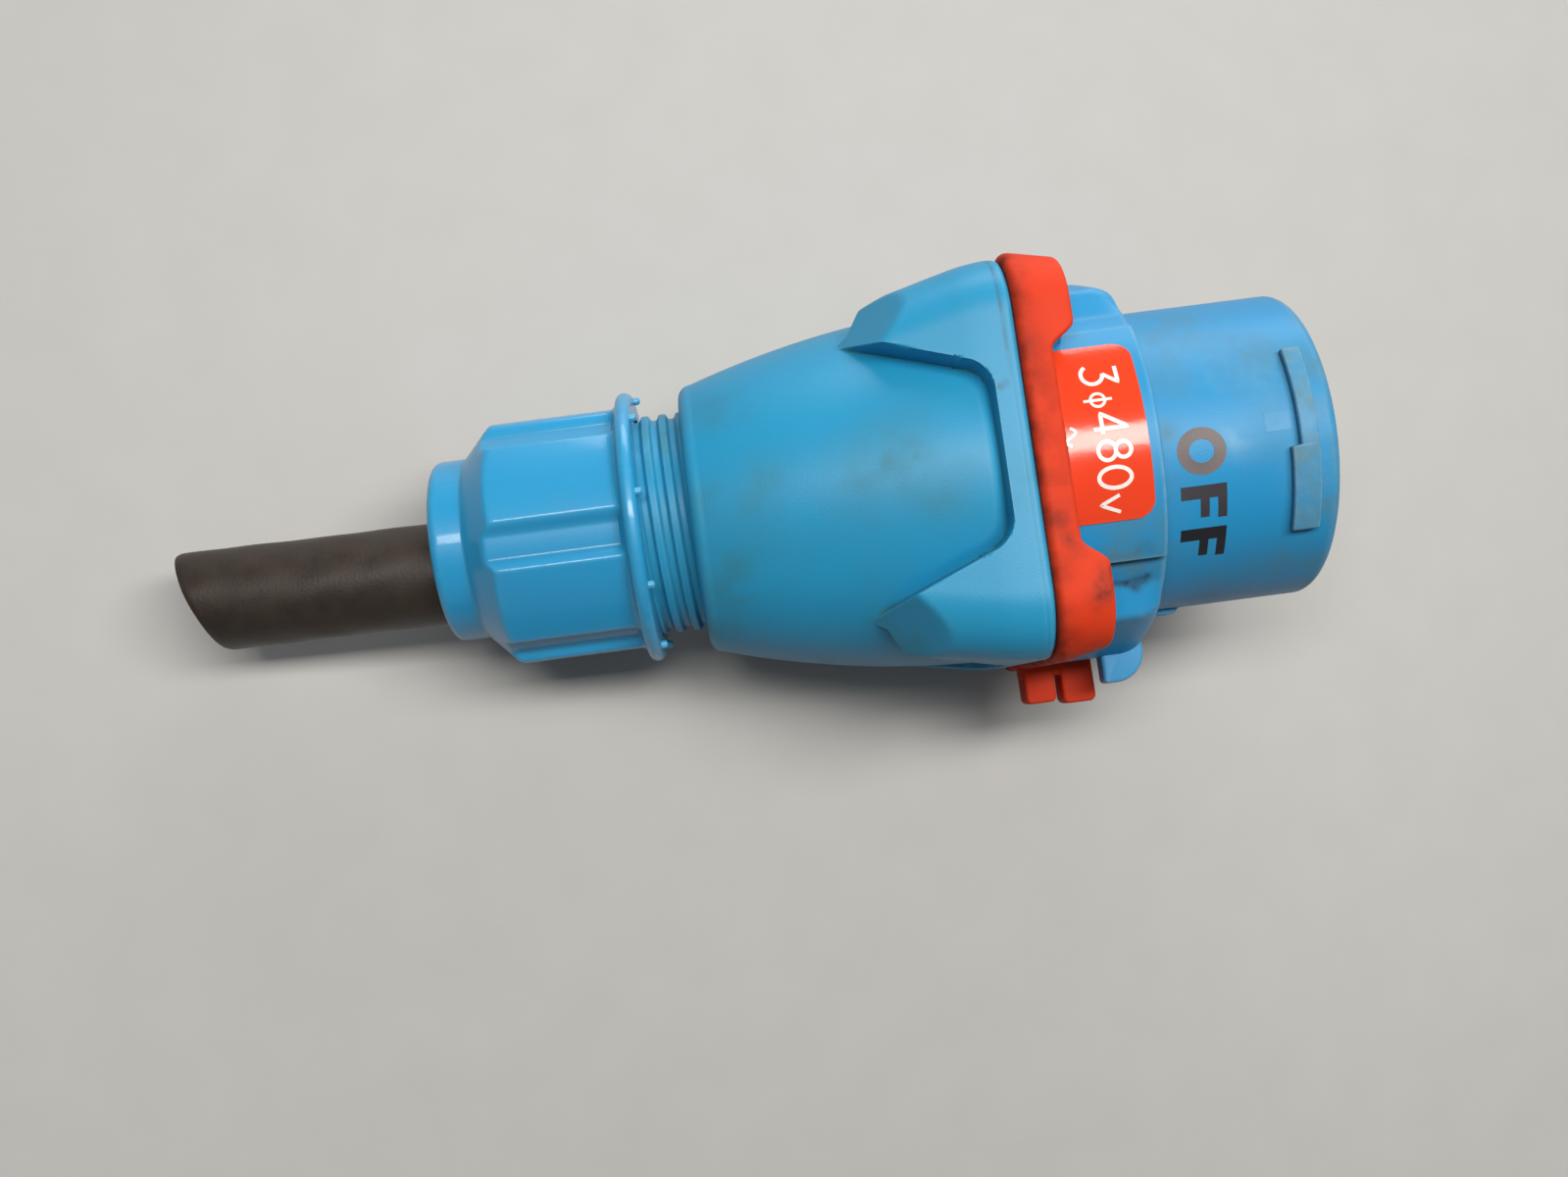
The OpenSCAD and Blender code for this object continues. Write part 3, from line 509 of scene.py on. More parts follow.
# blue_inlet's pale rub colour is wear and also a painted sheen on the nose.
blue_inlet = handled(
    "blue_inlet", base=(35, 142, 196), tint=(32, 134, 188), dirt_and_shade=(94, 112, 94), rub_and_sheen=(168, 202, 218),
    dirt_and_shade_amount=0.62, rubbed_and_sheen=0.42, rough=0.42, specular=0.35)
blue_nut = handled(
    "blue_nut", base=(28, 148, 200), tint=(26, 141, 194), dirt_and_shade=(66, 112, 112), rub_and_sheen=(104, 184, 216),
    dirt_and_shade_amount=0.4, rubbed_and_sheen=0.5, rough=0.42, grain=2000, bump=0.06, coat=0.5)
# red_rubber's dirt colour also paints the shadow at the gasket's rear edge and the shade on its band.
red_rubber = handled(
    "red_rubber", base=(220, 62, 26), tint=(206, 52, 22), dirt_and_shade=(74, 20, 16), rub_and_sheen=(238, 92, 50),
    dirt_and_shade_amount=0.75, rubbed_and_sheen=0.3, rough=0.6, grain=1800, bump=0.12, specular=0.2)
label_film = handled(
    "label_film", base=(232, 66, 32), tint=(228, 62, 30), dirt_and_shade=(150, 48, 30), rub_and_sheen=(238, 96, 66),
    dirt_and_shade_amount=0.2, rubbed_and_sheen=0.2, rough=0.14, grain=900, bump=0.04, coat=0.2)
cable_rubber = handled(
    "cable_rubber", base=(38, 29, 23), tint=(34, 26, 20), dirt_and_shade=(66, 52, 40), rub_and_sheen=(72, 57, 44),
    dirt_and_shade_amount=0.6, rubbed_and_sheen=0.3, rough=0.46, grain=1500, bump=0.15)
carrier_black = handled(
    "carrier_black", base=(44, 46, 48), tint=(38, 40, 42), dirt_and_shade=(70, 66, 60), rub_and_sheen=(84, 86, 88),
    dirt_and_shade_amount=0.4, rubbed_and_sheen=0.3, rough=0.5, grain=1500, bump=0.15)
seal_rubber = handled(
    "seal_rubber", base=(34, 34, 36), tint=(30, 30, 32), dirt_and_shade=(52, 50, 48), rub_and_sheen=(60, 60, 62),
    dirt_and_shade_amount=0.4, rubbed_and_sheen=0.3, rough=0.6)
washer_nylon = handled(
    "washer_nylon", base=(214, 212, 206), tint=(206, 204, 196), dirt_and_shade=(150, 146, 138), rub_and_sheen=(230, 228, 224),
    dirt_and_shade_amount=0.3, rubbed_and_sheen=0.2, rough=0.4)

# %% Print and metal
white_print = handled(
    "white_print", base=(236, 232, 226), tint=(230, 226, 220), dirt_and_shade=(190, 180, 170), rub_and_sheen=(240, 238, 236),
    dirt_and_shade_amount=0.2, rubbed_and_sheen=0.0, rough=0.3)
black_print = handled(
    "black_print", base=(22, 22, 28), tint=(30, 30, 36), dirt_and_shade=(60, 66, 72), rub_and_sheen=(60, 66, 74),
    dirt_and_shade_amount=0.5, rubbed_and_sheen=0.2, rough=0.5)
faded_print = handled(
    "faded_print", base=(52, 48, 54), tint=(40, 40, 48), dirt_and_shade=(84, 90, 96), rub_and_sheen=(84, 84, 90),
    dirt_and_shade_amount=0.7, rubbed_and_sheen=0.2, rough=0.5)
worn_print = handled(
    "worn_print", base=(96, 84, 84), tint=(150, 138, 130), dirt_and_shade=(118, 140, 146), rub_and_sheen=(140, 140, 140),
    dirt_and_shade_amount=0.9, rubbed_and_sheen=0.2, rough=0.5)
contact_brass = handled(
    "contact_brass", base=(206, 168, 92), tint=(190, 148, 78), dirt_and_shade=(120, 92, 52), rub_and_sheen=(226, 196, 130),
    dirt_and_shade_amount=0.5, rubbed_and_sheen=0.4, rough=0.26, grain=1800, bump=0.05, metal=1)
fixing_steel = handled(
    "fixing_steel", base=(176, 178, 180), tint=(160, 162, 164), dirt_and_shade=(110, 100, 90), rub_and_sheen=(206, 206, 206),
    dirt_and_shade_amount=0.5, rubbed_and_sheen=0.4, rough=0.32, grain=2200, bump=0.06, metal=1)
copper_wire = handled(
    "copper_wire", base=(196, 118, 74), tint=(176, 98, 58), dirt_and_shade=(104, 66, 46), rub_and_sheen=(216, 146, 104),
    dirt_and_shade_amount=0.5, rubbed_and_sheen=0.4, rough=0.32, grain=2000, bump=0.05, metal=1)

# %% The floor's paint
# The floor is pale where it is seen or mirrored, and darker for the light that it throws back
FLOOR_PAINTS = paint(186, 185, 182), paint(190, 189, 187)
FLOOR_BOUNCE = paint(88, 82, 76)
FLOOR_ROUGHNESS = 0.7
floor_paint = bpy.data.materials.new("floor_paint")
floor_paint.use_nodes = True
floor_tree = floor_paint.node_tree
floor_shader = floor_tree.nodes["Principled BSDF"]
floor_place = add_node(floor_tree, "TexCoord").outputs["Object"]
floor_colour = blend_colour(floor_tree, speckle(floor_tree, floor_place, 60, 4, 0.2, 0.8), *FLOOR_PAINTS)
rays = add_node(floor_tree, "LightPath").outputs
mirrored = times_plus(floor_tree, rays["Is Glossy Ray"], 1.0, rays["Is Transmission Ray"])
seen = times_plus(floor_tree, rays["Is Camera Ray"], 1.0, mirrored, clamp=True)
floor_colour = blend_colour(floor_tree, seen, FLOOR_BOUNCE, floor_colour)
feed(floor_tree, floor_shader, {"Base Color": floor_colour, "Roughness": FLOOR_ROUGHNESS})
floor_mesh.materials.append(floor_paint)
print("materials:", len(bpy.data.materials))

# %% [markdown]
# ## The handle
#
# The handle is one moulding: a barrel that swells from the cable end and runs out from under a square cape.
# A window is cut through the cape on all four sides, wider above and below than at the sides, so only a rim
# band and four corner buttresses are left. A turned profile can't show that. Each side is a height above the
# axis over its own width, and a column of the grid follows the window's edge to keep that edge clean.

# %% Handle sizes
HANDLE_LOW, HANDLE_HIGH = plug_box("handle")
GASKET_LOW, GASKET_HIGH = plug_box("flange_gasket")
FLANGE_HALF = HANDLE_HIGH[2]
GASKET_HALF = GASKET_HIGH[2]
GASKET_CORNER = 15.0
CORNER_AT = GASKET_HALF - GASKET_CORNER
CORNER_R = FLANGE_HALF - CORNER_AT
HANDLE_LEN = 72.5
REAR_ROUND = 3.0
BARREL_REAR = 31.4
BARREL_FRONT = FLANGE_HALF - 1.9
BARREL_SWELL = 2.3
RIM_BAND = 6.3
RIM_GROOVE = 1.8
FRONT_ROUND = 1.5
TOP_HALF, SIDE_HALF = 18.0, 10.0
TOP_FLARE, SIDE_FLARE = math.atan(0.4), math.atan(0.55)
WINDOW_ROUND = 7.0
TAPER = math.tan(math.radians(11.5))
TAPER_SOFT = 5.0
CORNER_TURN = math.radians(52)
FACET_TURN = math.radians(47.5)
FACET_SLOPE = 0.867
TIP_X, TIP_R = -35.2, 39.65
BORE_FRONT = 33.0
SPIGOT_BORE = 20.5
print("flange:", round(2 * FLANGE_HALF, 1), "mm square")


# %% Barrel and windows
def barrel_radius(x):
    """A parabola between the two ends, a rounded rear edge, and a quarter circle down into the groove."""
    rear, front = REAR_ROUND - HANDLE_LEN, -RIM_BAND - RIM_GROOVE
    t = np.clip((x - rear) / (front - rear), 0, 1)
    side = BARREL_REAR + (BARREL_FRONT - BARREL_REAR) * t + 4 * BARREL_SWELL * t * (1 - t)
    return side - round_off(rear - x, REAR_ROUND) - round_off(x - front, RIM_GROOVE)


def window_distance(x, v, half, flare):
    """Distance to a window's edge, negative inside: two straight edges joined by an arc of WINDOW_ROUND."""
    front = x + RIM_BAND
    side = ((np.abs(v) - half) + front * math.tan(flare)) * math.cos(flare)
    draw = WINDOW_ROUND * math.tan(math.pi / 4 - flare / 2)
    dx = front + WINDOW_ROUND
    dv = np.abs(v) - (half - draw)
    lean = np.arctan2(dv, dx)
    in_arc = (lean > 0) & (lean < math.pi / 2 - flare)
    return np.where(in_arc, np.hypot(dx, dv) - WINDOW_ROUND, np.maximum(front, side))


def window_edge(x, half, flare):
    """Half width of the window at x: the arc near its front, then the flaring line."""
    draw = WINDOW_ROUND * math.tan(math.pi / 4 - flare / 2)
    back = np.clip(-RIM_BAND - x, 0, None)
    rounded = half - draw + WINDOW_ROUND - round_off(WINDOW_ROUND - back, WINDOW_ROUND)
    straight = half + back * math.tan(flare)
    return np.where(back < WINDOW_ROUND, np.minimum(rounded, straight), straight)


# %% Cape and buttress facets
FACET_CREASE = 0.9
CORNER_CREASE = 0.75
FOOT_CREASE = 0.4


def cape_half(x):
    """Half width of the square cape: a taper with a soft start, and a quarter circle at its front edge."""
    start = soft_max(-RIM_BAND, 0.0, TAPER_SOFT)
    taper = (soft_max(-RIM_BAND - x, 0.0, TAPER_SOFT) - start) * TAPER
    return FLANGE_HALF - taper - round_off(x + FRONT_ROUND, FRONT_ROUND)


def facet_reach(x):
    """Distance of the sloped facet's plane from the axis: it leaves the barrel at the buttress's tip."""
    return TIP_R + (x - TIP_X) * FACET_SLOPE


def cape_height(x, v, tilt):
    """Height of the cape over its side: flat, then a corner arc, cut at the corner by the sloped facet."""
    center = cape_half(x) - CORNER_R
    square = center + CORNER_R - round_off(np.abs(v) - center, CORNER_R)
    facet = (facet_reach(x) - np.abs(v) * math.sin(tilt)) / math.cos(tilt)
    return soft_min(square, facet, FACET_CREASE)


def corner_reach(x, lean, tilt):
    """Distance from the axis to the line where two sides meet: the outermost of barrel and cape there."""
    center = cape_half(x) - CORNER_R
    off = center * (math.sin(lean) - math.cos(lean))
    square = center * (math.sin(lean) + math.cos(lean)) + np.sqrt(CORNER_R**2 - off**2)
    facet = facet_reach(x) / math.cos(tilt - lean)
    return soft_max(barrel_radius(x), soft_min(square, facet, CORNER_CREASE), FOOT_CREASE)


# %% One side of the handle
PARTING_X, PARTING_RUN, PARTING_DEPTH = -2.6, 0.5, 0.09
WALL_SHARE = 0.55
WALL_SOFT = 0.7
INNER_CROWD, OUTER_CROWD = 1.5, 1.35
WIDEST_WINDOW = 0.96
DIP, DIP_START, DIP_RUN, DIP_WIDTH, DIP_END = 0.9, -32, 16, 3.2, 0.6
BARREL_CREASE = 0.5


def handle_side(x, share, half, flare, lean, tilt):
    """One side of the handle: v goes from corner line to corner line, with the window's edge at WALL_SHARE.

    The height z is the barrel inside the window and the cape outside it, joined by a steep soft wall. Close
    to the wall the barrel dips a little. The seam in the rim band is a shallow step.
    """
    parting = PARTING_DEPTH * smooth((x - PARTING_X) / PARTING_RUN)
    corner = corner_reach(x, lean, tilt) - parting
    reach = corner * math.sin(lean)
    edge = np.minimum(window_edge(x, half, flare), WIDEST_WINDOW * reach)
    off = np.abs(share)
    a = np.clip(off / WALL_SHARE, 0, 1)
    b = np.clip((off - WALL_SHARE) / (1 - WALL_SHARE), 0, 1)
    inner = edge * (1 - (1 - a) ** INNER_CROWD)
    v = np.where(off <= WALL_SHARE, inner, edge + (reach - edge) * b**OUTER_CROWD) * np.sign(share)
    inside = window_distance(x, v, half, flare)
    dip = DIP * smooth((x - DIP_START) / DIP_RUN) * smooth(1 + inside / DIP_WIDTH) * (inside < DIP_END)
    barrel = np.sqrt(np.clip(barrel_radius(x) ** 2 - v**2, 0, None)) - dip
    cape = soft_max(barrel, cape_height(x, v, tilt), BARREL_CREASE)
    z = barrel + (cape - parting - barrel) * smooth(inside / WALL_SOFT + 0.5)
    return v, np.where(off == 1, corner * math.cos(lean), z)


# %% Handle grid
SIDE_COLUMNS = 132
TOP_WINDOW = (TOP_HALF, TOP_FLARE, CORNER_TURN, FACET_TURN)
SIDE_WINDOW = (SIDE_HALF, SIDE_FLARE, math.pi / 2 - CORNER_TURN, math.pi / 2 - FACET_TURN)
BORE_PROFILE = [
    (0.0, BORE_FRONT), (-18.0, BORE_FRONT), (-36.0, 31.0), (-62.0, 24.5), (-HANDLE_LEN, SPIGOT_BORE)]
handle_x = np.concatenate([
    -HANDLE_LEN + REAR_ROUND * (1 - np.cos(np.radians(np.linspace(0, 90, 9)))),
    np.linspace(REAR_ROUND - HANDLE_LEN + 0.5, -10.5, 104),
    np.linspace(-10.2, -RIM_BAND - 0.4, 18),
    np.linspace(-RIM_BAND - 0.3, -RIM_BAND + 0.6, 8),
    np.linspace(-5.4, PARTING_X - 0.1, 7),
    np.linspace(PARTING_X, PARTING_X + 0.25, 4),
    np.linspace(-2.0, -FRONT_ROUND, 3),
    -FRONT_ROUND * (1 - np.sin(np.radians(np.linspace(8, 90, 9)))),
])[:, None]
share = np.linspace(-1, 1, SIDE_COLUMNS + 1)[None, :-1]
sides = []
for quarter in range(4):
    v, z = handle_side(handle_x, share, *(SIDE_WINDOW if quarter % 2 else TOP_WINDOW))
    turn_by = math.radians(90 * quarter)
    down = v * math.cos(turn_by) + z * math.sin(turn_by)
    up = z * math.cos(turn_by) - v * math.sin(turn_by)
    sides.append(np.stack([np.broadcast_to(handle_x, v.shape), -down, up], -1))
outer = np.concatenate(sides, 1)
front_heading = np.arctan2(-outer[-1:, :, 1], outer[-1:, :, 2])
handle_grid = np.concatenate([outer] + [round_axis(x, r, front_heading) for x, r in BORE_PROFILE])
print("handle grid:", handle_grid.shape[:2])

# %% Handle skin
# Dirt patches on the handle; the two at x -30 and -26, about 52 to 54 degrees round, are dirt and painted
# shade on the near buttress facet.
HANDLE_GRIME_AND_SHADE = [
    (-30, -4, 40, 6, 0.6), (-26, -1, 40, 5, 0.5), (-38, 4, 39, 6, 0.3), (-20, 13, 41, 6, 0.4),
    (-56, -3, 36, 6, 0.4), (-63, -37, 34, 6, 0.5), (-65, 28, 35, 7, 0.55), (-59, 8, 36, 5, 0.4),
    (-30, 54, 40, 5, 1.0), (-26, 52, 42, 5, 0.9), (-19, 42, 45, 5, 0.4), (-27, -60, 42, 6, 0.5),
    (-68, 0, 32, 4, 0.4), (-70, 60, 32, 6, 0.6), (-3, 10, 43, 5, 0.3), (-66, 44, 34, 6, 0.5)]
HANDLE_SOOT = [
    (-3.7, -18, 45, 0.9, 0.7), (-5, -17, 45, 0.7, 0.6), (-2.8, -20, 45, 0.7, 0.5), (-9.4, 24, 44, 0.6, 0.6)]
SEAM_SOOT, SEAM_HALF, SEAM_FROM_Y, SEAM_RUN = 0.55, 0.3, 8, 20
seam = np.exp(-(((handle_grid[..., 0] - PARTING_X) / SEAM_HALF) ** 2))
seam *= smooth((handle_grid[..., 1] - SEAM_FROM_Y) / SEAM_RUN)
handle_soot = np.maximum(smudge(handle_grid, HANDLE_SOOT), SEAM_SOOT * seam)
handle_skin = Skin("handle_shell").add(handle_grid, handle_soot, smudge(handle_grid, HANDLE_GRIME_AND_SHADE))
handle_skin.make(blue_shell, "plug", "blue_shell", "handle")

# %% [markdown]
# ## The gland thread
#
# Behind the barrel a threaded spigot takes the gland nut. The thread is one helix: its height depends on how
# far a point lies from the crest line, and the crest line moves one pitch along the axis for each turn.

# %% Thread skin
PITCH = 4.0
SPIGOT_R = 24.3
THREAD_DEPTH = 1.2
CREST_HALF, FLANK = 1.45, 0.8
RUN_IN = 2.0
THREAD_FRONT = -HANDLE_LEN + 0.6
CREST_DIRT, CREST_DIRT_RUN = 0.7, 16
thread_x = np.linspace(HANDLE_LOW[0], THREAD_FRONT, 150)[:, None]
thread_a = ring_angles(200)[None]
phase = (thread_x - HANDLE_LOW[0] - PITCH / 2) / PITCH - thread_a / (2 * np.pi)
off_crest = np.abs(phase - np.round(phase)) * PITCH
crest = smooth((CREST_HALF - off_crest) / FLANK) * smooth((thread_x - HANDLE_LOW[0]) / RUN_IN)
thread_outer = round_axis(thread_x, SPIGOT_R + THREAD_DEPTH * crest, thread_a)
thread_inner = [round_axis(x, SPIGOT_BORE, thread_a) for x in (THREAD_FRONT, HANDLE_LOW[0])]
thread_grid = np.concatenate([thread_outer, *thread_inner])
thread_dirt = np.zeros(thread_grid.shape[:2])
thread_dirt[:len(crest)] = CREST_DIRT * crest * smooth(thread_outer[..., 1] / CREST_DIRT_RUN)
thread_skin = Skin("gland_thread").add(thread_grid, grime_and_shade=thread_dirt, wear=0.4)
thread_skin.make(blue_shell, "plug", "blue_shell", "handle")

# %% [markdown]
# ## The gland nut
#
# Six flat panels meet in finger flutes with one soft side and one steep side. The nut is a turned profile
# whose radius is also held under an outline that repeats every sixty degrees. A round ring closes its front,
# with small stop pips on it, and a plain collar closes its rear.

# %% Nut sizes and outline
NUT_LOW, NUT_HIGH = plug_box("gland_nut")
RING_R = NUT_HIGH[1]
RING_T = 3.6
RING_BACK = -86.8
RING_FRONT = RING_BACK + RING_T
RING_MID = RING_R - RING_T / 2
NUT_R = 28.6
NUT_BORE = 25.8
BORE_END = -110.0
CHAMFER_X = -115.8
COLLAR_X = -123.0
COLLAR_R = 21.0
COLLAR_EDGE = 2.0
CABLE_HOLE = 17.8
HOLE_EDGE = 0.6
FIRST_RIDGE = 20.0
PANELS = 6
PANEL_SPAN = 38
PANEL_FLAT = 0.6
FLUTE_DEPTH = 2.0
FALL_AT, FALL_RUN = 37, 7
RISE_AT, RISE_RUN = 54, 5.5


def grip_radius(angle):
    """One panel's outline, repeated: a flattened panel, a soft fall, the flute's floor and a steep rise."""
    phi = (np.degrees(angle) - FIRST_RIDGE) % (360 / PANELS)
    panel = PANEL_FLAT * (1 - ((phi - PANEL_SPAN / 2) / (PANEL_SPAN / 2)) ** 2) * (phi < PANEL_SPAN)
    flute = smooth((phi - FALL_AT) / FALL_RUN) - smooth((phi - RISE_AT) / RISE_RUN)
    return NUT_R - np.clip(panel, 0, None) - FLUTE_DEPTH * flute


# %% Nut skin
ROOT_ROUND = 0.9
RING_BLEND = 1.4
GRIP_SLACK = 0.2
CHAMFER_SOFT = 0.7
nut_a = ring_angles(432)[None]
bound = NUT_R + GRIP_SLACK
nut_profile = np.concatenate([
    np.linspace((RING_FRONT, NUT_BORE), (RING_FRONT, RING_MID - 0.4), 4),
    arc(RING_BACK + RING_T / 2, RING_MID, RING_T / 2, 0, 180, 17),
    arc(RING_BACK - 0.7, bound + ROOT_ROUND, ROOT_ROUND, 30, -90, 7),
    np.linspace((RING_BACK - 1.2, bound), (CHAMFER_X, bound), 34),
    np.linspace((CHAMFER_X - 0.3, bound), (COLLAR_X, COLLAR_R), 16),
    np.linspace((COLLAR_X - 0.3, COLLAR_R), (NUT_LOW[0] + COLLAR_EDGE + 0.3, COLLAR_R), 6),
    arc(NUT_LOW[0] + COLLAR_EDGE, COLLAR_R - COLLAR_EDGE, COLLAR_EDGE, 90, 180, 9),
    np.linspace((NUT_LOW[0], COLLAR_R - COLLAR_EDGE - 0.4), (NUT_LOW[0], CABLE_HOLE + HOLE_EDGE), 4),
    arc(NUT_LOW[0] + HOLE_EDGE, CABLE_HOLE + HOLE_EDGE, HOLE_EDGE, 180, 270, 4),
    np.array([(BORE_END, CABLE_HOLE), (BORE_END + 0.1, NUT_BORE)]),
])
nut_x = nut_profile[:, :1]
nut_bound = nut_profile[:, 1:]
in_grip = (nut_x < RING_BACK) & (nut_x > COLLAR_X - 0.1) & (nut_bound > COLLAR_R - 0.1)
cone = COLLAR_R + (nut_x - COLLAR_X) * (NUT_R - COLLAR_R) / (CHAMFER_X - COLLAR_X)
held = soft_min(grip_radius(nut_a), np.maximum(cone, COLLAR_R), CHAMFER_SOFT)
free = 1 - smooth((RING_BACK - nut_x) / RING_BLEND)
nut_radius = np.where(in_grip, held + (nut_bound - held) * free, nut_bound)
nut_skin = Skin("nut_shell").add(round_axis(nut_x, nut_radius, nut_a))

# %% Stop pips on the nut's ring
PIPS = 9
FIRST_PIP = 33.0
PIP_PROFILE = np.array([(0.0, -1.2), (0.9, -1.2), (0.9, 0.8), (0.75, 1.2), (0.4, 1.4), (0.0, 1.4)])
pip_a = ring_angles(16)
for pip in range(PIPS):
    way = math.radians(FIRST_PIP + 360 / PIPS * pip)
    radius = RING_MID + PIP_PROFILE[:, :1] * np.cos(pip_a)
    swing = PIP_PROFILE[:, :1] * np.sin(pip_a)
    y = -radius * math.sin(way) - swing * math.cos(way)
    z = radius * math.cos(way) - swing * math.sin(way)
    front = np.broadcast_to(RING_FRONT + PIP_PROFILE[:, 1:], y.shape)
    nut_skin.add(np.stack([front, y, z], -1), loop=False)
nut_skin.make(blue_nut, "nut", "blue_nut", "gland_nut")

# %% [markdown]
# ## The gasket
#
# A red rubber gasket sits between the handle and the inlet. It is a square web with a skirt: low between the
# corners, and drawn up into a cup round each corner post. The skirt's section is carried round a rounded
# square, and only the height of its front edge changes on the way. A forked tab sticks out of the near side.

# %% Gasket path
FLAT_COLUMNS = 56
CORNER_COLUMNS = 18


def square_path(flat_columns, corner_columns):
    """Once round a square, side by side: skeleton points, outward normals and places along the side."""
    v = np.linspace(-CORNER_AT, CORNER_AT, flat_columns, endpoint=False)
    phi = np.linspace(0, np.pi / 2, corner_columns, endpoint=False)[:, None]
    skeleton, normal, along_side = [], [], []
    for quarter in range(4):
        a = quarter * np.pi / 2
        n = np.array([-math.sin(a), math.cos(a)])
        t = np.array([-math.cos(a), -math.sin(a)])
        corner = np.broadcast_to(CORNER_AT * (n + t), (corner_columns, 2))
        skeleton += [CORNER_AT * n + v[:, None] * t, corner]
        normal += [np.broadcast_to(n, (flat_columns, 2)), np.cos(phi) * n + np.sin(phi) * t]
        along_side += [v, np.full(corner_columns, CORNER_AT)]
    return np.concatenate(skeleton), np.concatenate(normal), np.concatenate(along_side)


skeleton, outward, along_side = square_path(FLAT_COLUMNS, CORNER_COLUMNS)
print("gasket path:", len(skeleton), "points")

# %% Gasket section
GASKET_WALL = 3.4
WEB, WEB_SOFT = 3.0, 0.5
BAND, BAND_HALF = 7.0, 20.0
CUP, CUP_DRAFT, CUP_SLOPE = 12.5, 2.6, 5.6
REAR_SOFT, REAR_LAND = 2.4, 1.5
LIP_SOFT, LIP_INNER = 1.1, 0.7
HOLE_R = 33.0
front_edge = BAND + (CUP - BAND) * smooth((np.abs(along_side) - BAND_HALF) / CUP_SLOPE)[None]
q = np.radians(np.linspace(0, 90, 7))[:, None]
climb = np.linspace(0.06, 1, 14)[:, None]
fall = np.array([[0.35], [0.7], [1.0]])
wall_in = GASKET_CORNER - GASKET_WALL
# The section's rows in order, each with its height and how far out it lies
section = [
    (0.0, GASKET_CORNER - REAR_SOFT - REAR_LAND),
    (REAR_SOFT * (1 - np.cos(q)), GASKET_CORNER - REAR_SOFT * (1 - np.sin(q))),
    (REAR_SOFT + (front_edge - LIP_SOFT - REAR_SOFT) * climb, GASKET_CORNER),
    (front_edge - LIP_SOFT + LIP_SOFT * np.sin(q[1:]), GASKET_CORNER - LIP_SOFT * (1 - np.cos(q[1:]))),
    (front_edge - LIP_INNER + LIP_INNER * np.cos(q), wall_in + LIP_INNER - LIP_INNER * np.sin(q)),
    (front_edge + (WEB + WEB_SOFT - front_edge) * fall, wall_in),
    (WEB, wall_in - WEB_SOFT),
]
rows = [np.broadcast_arrays(height + 0 * front_edge, out) for height, out in section]
section_x, section_out = (np.concatenate(part) for part in zip(*rows))
outer_rows = len(q) + len(climb) + len(q)
is_outer = np.arange(len(section_x))[:, None] < outer_rows
draft = np.where(is_outer, section_x / CUP, (section_x - BAND) / (CUP - BAND))
section_out -= CUP_DRAFT * np.clip(draft, 0, 1)
skirt = skeleton[None] + section_out[..., None] * outward[None]
bearing = np.arctan2(-skirt[:1, :, 0], skirt[:1, :, 1])
hole = [round_axis(x, HOLE_R, bearing) for x in (WEB, 0.0)]
gasket_grid = np.concatenate([np.concatenate([section_x[..., None], skirt], -1), *hole])

# %% Gasket skin
GASKET_SOOT = [
    (12.0, 33, 52, 2.6, 0.9), (9.5, 37, 54, 3.0, 0.7), (4, 24, 49, 1.4, 0.9), (2.5, 20, 47, 1.8, 0.7),
    (6, 27, 50, 1.6, 0.5), (1, -26, 49, 3, 0.4)]
# The gasket darkens towards the handle: a painted shadow along the joint and over the rear edge. The low band
# between the cups gets painted shade and dirt.
JOINT_SHADOW, LINE_FADE = 0.6, 2.2
REAR_SHADOW, REAR_FADE = 0.45, 5
BAND_SHADE_AND_DIRT, BAND_REACH, BAND_RUN = 0.2, 22, 4
from_handle = gasket_grid[..., 0]
gasket_shade_and_grime = JOINT_SHADOW * np.exp(-((from_handle / LINE_FADE) ** 2))
gasket_shade_and_grime += REAR_SHADOW * np.exp(-((from_handle / REAR_FADE) ** 2))
gasket_shade_and_grime += BAND_SHADE_AND_DIRT * smooth((BAND_REACH - np.abs(along_side)) / BAND_RUN)
gasket_skin = Skin("gasket_skin").add(gasket_grid, smudge(gasket_grid, GASKET_SOOT), gasket_shade_and_grime)

# %% The forked tab, and the gasket's mesh
TAB_LOW, TAB_HIGH = -19.0, -10.0
TAB_SLOT = 1.7
TAB_IN = -41.8
TAB_START = 0.6
EAR_DRAW = 0.9
EAR_RADII = (0.6, 0.6, 1.5, 1.5)
EAR_EDGE = 0.8
ROOT_RADII = (0.4, 0.4, 0.8, 0.8)
ROOT_EDGE, ROOT_INSET = 1.2, 0.3
tab_len = GASKET_HIGH[0]
ear = (tab_len - TAB_SLOT) / 2
for start, draw, inner in ((TAB_START, EAR_DRAW, TAB_IN + 2), (ear + TAB_SLOT, 0.0, TAB_IN)):
    corners = rectangle((start, GASKET_LOW[1] + draw), (start + ear - draw / 2, inner))
    gasket_skin.add(plate(*outline(corners, EAR_RADII), TAB_LOW, TAB_HIGH, EAR_EDGE), loop=False)
corners = rectangle((0.4, -GASKET_HALF - 2), (tab_len - TAB_START, TAB_IN))
tab_root = plate(*outline(corners, ROOT_RADII), TAB_LOW + ROOT_INSET, TAB_HIGH - ROOT_INSET, ROOT_EDGE)
gasket_skin.add(tab_root, loop=False)
gasket_skin.make(red_rubber, "plug", "red_rubber", "flange_gasket")

# %% [markdown]
# ## The inlet body
#
# The inlet is the coupling half: a square flange under the gasket, a drum with a raised pad above and below,
# a sloping shoulder on each side, one wing, and the round nose with its bayonet ribs. Nose, drum, pads and
# shoulders are one turned skin whose radius depends on the angle too. Flange, posts, wing, ribs and key are
# closed shells set into it.

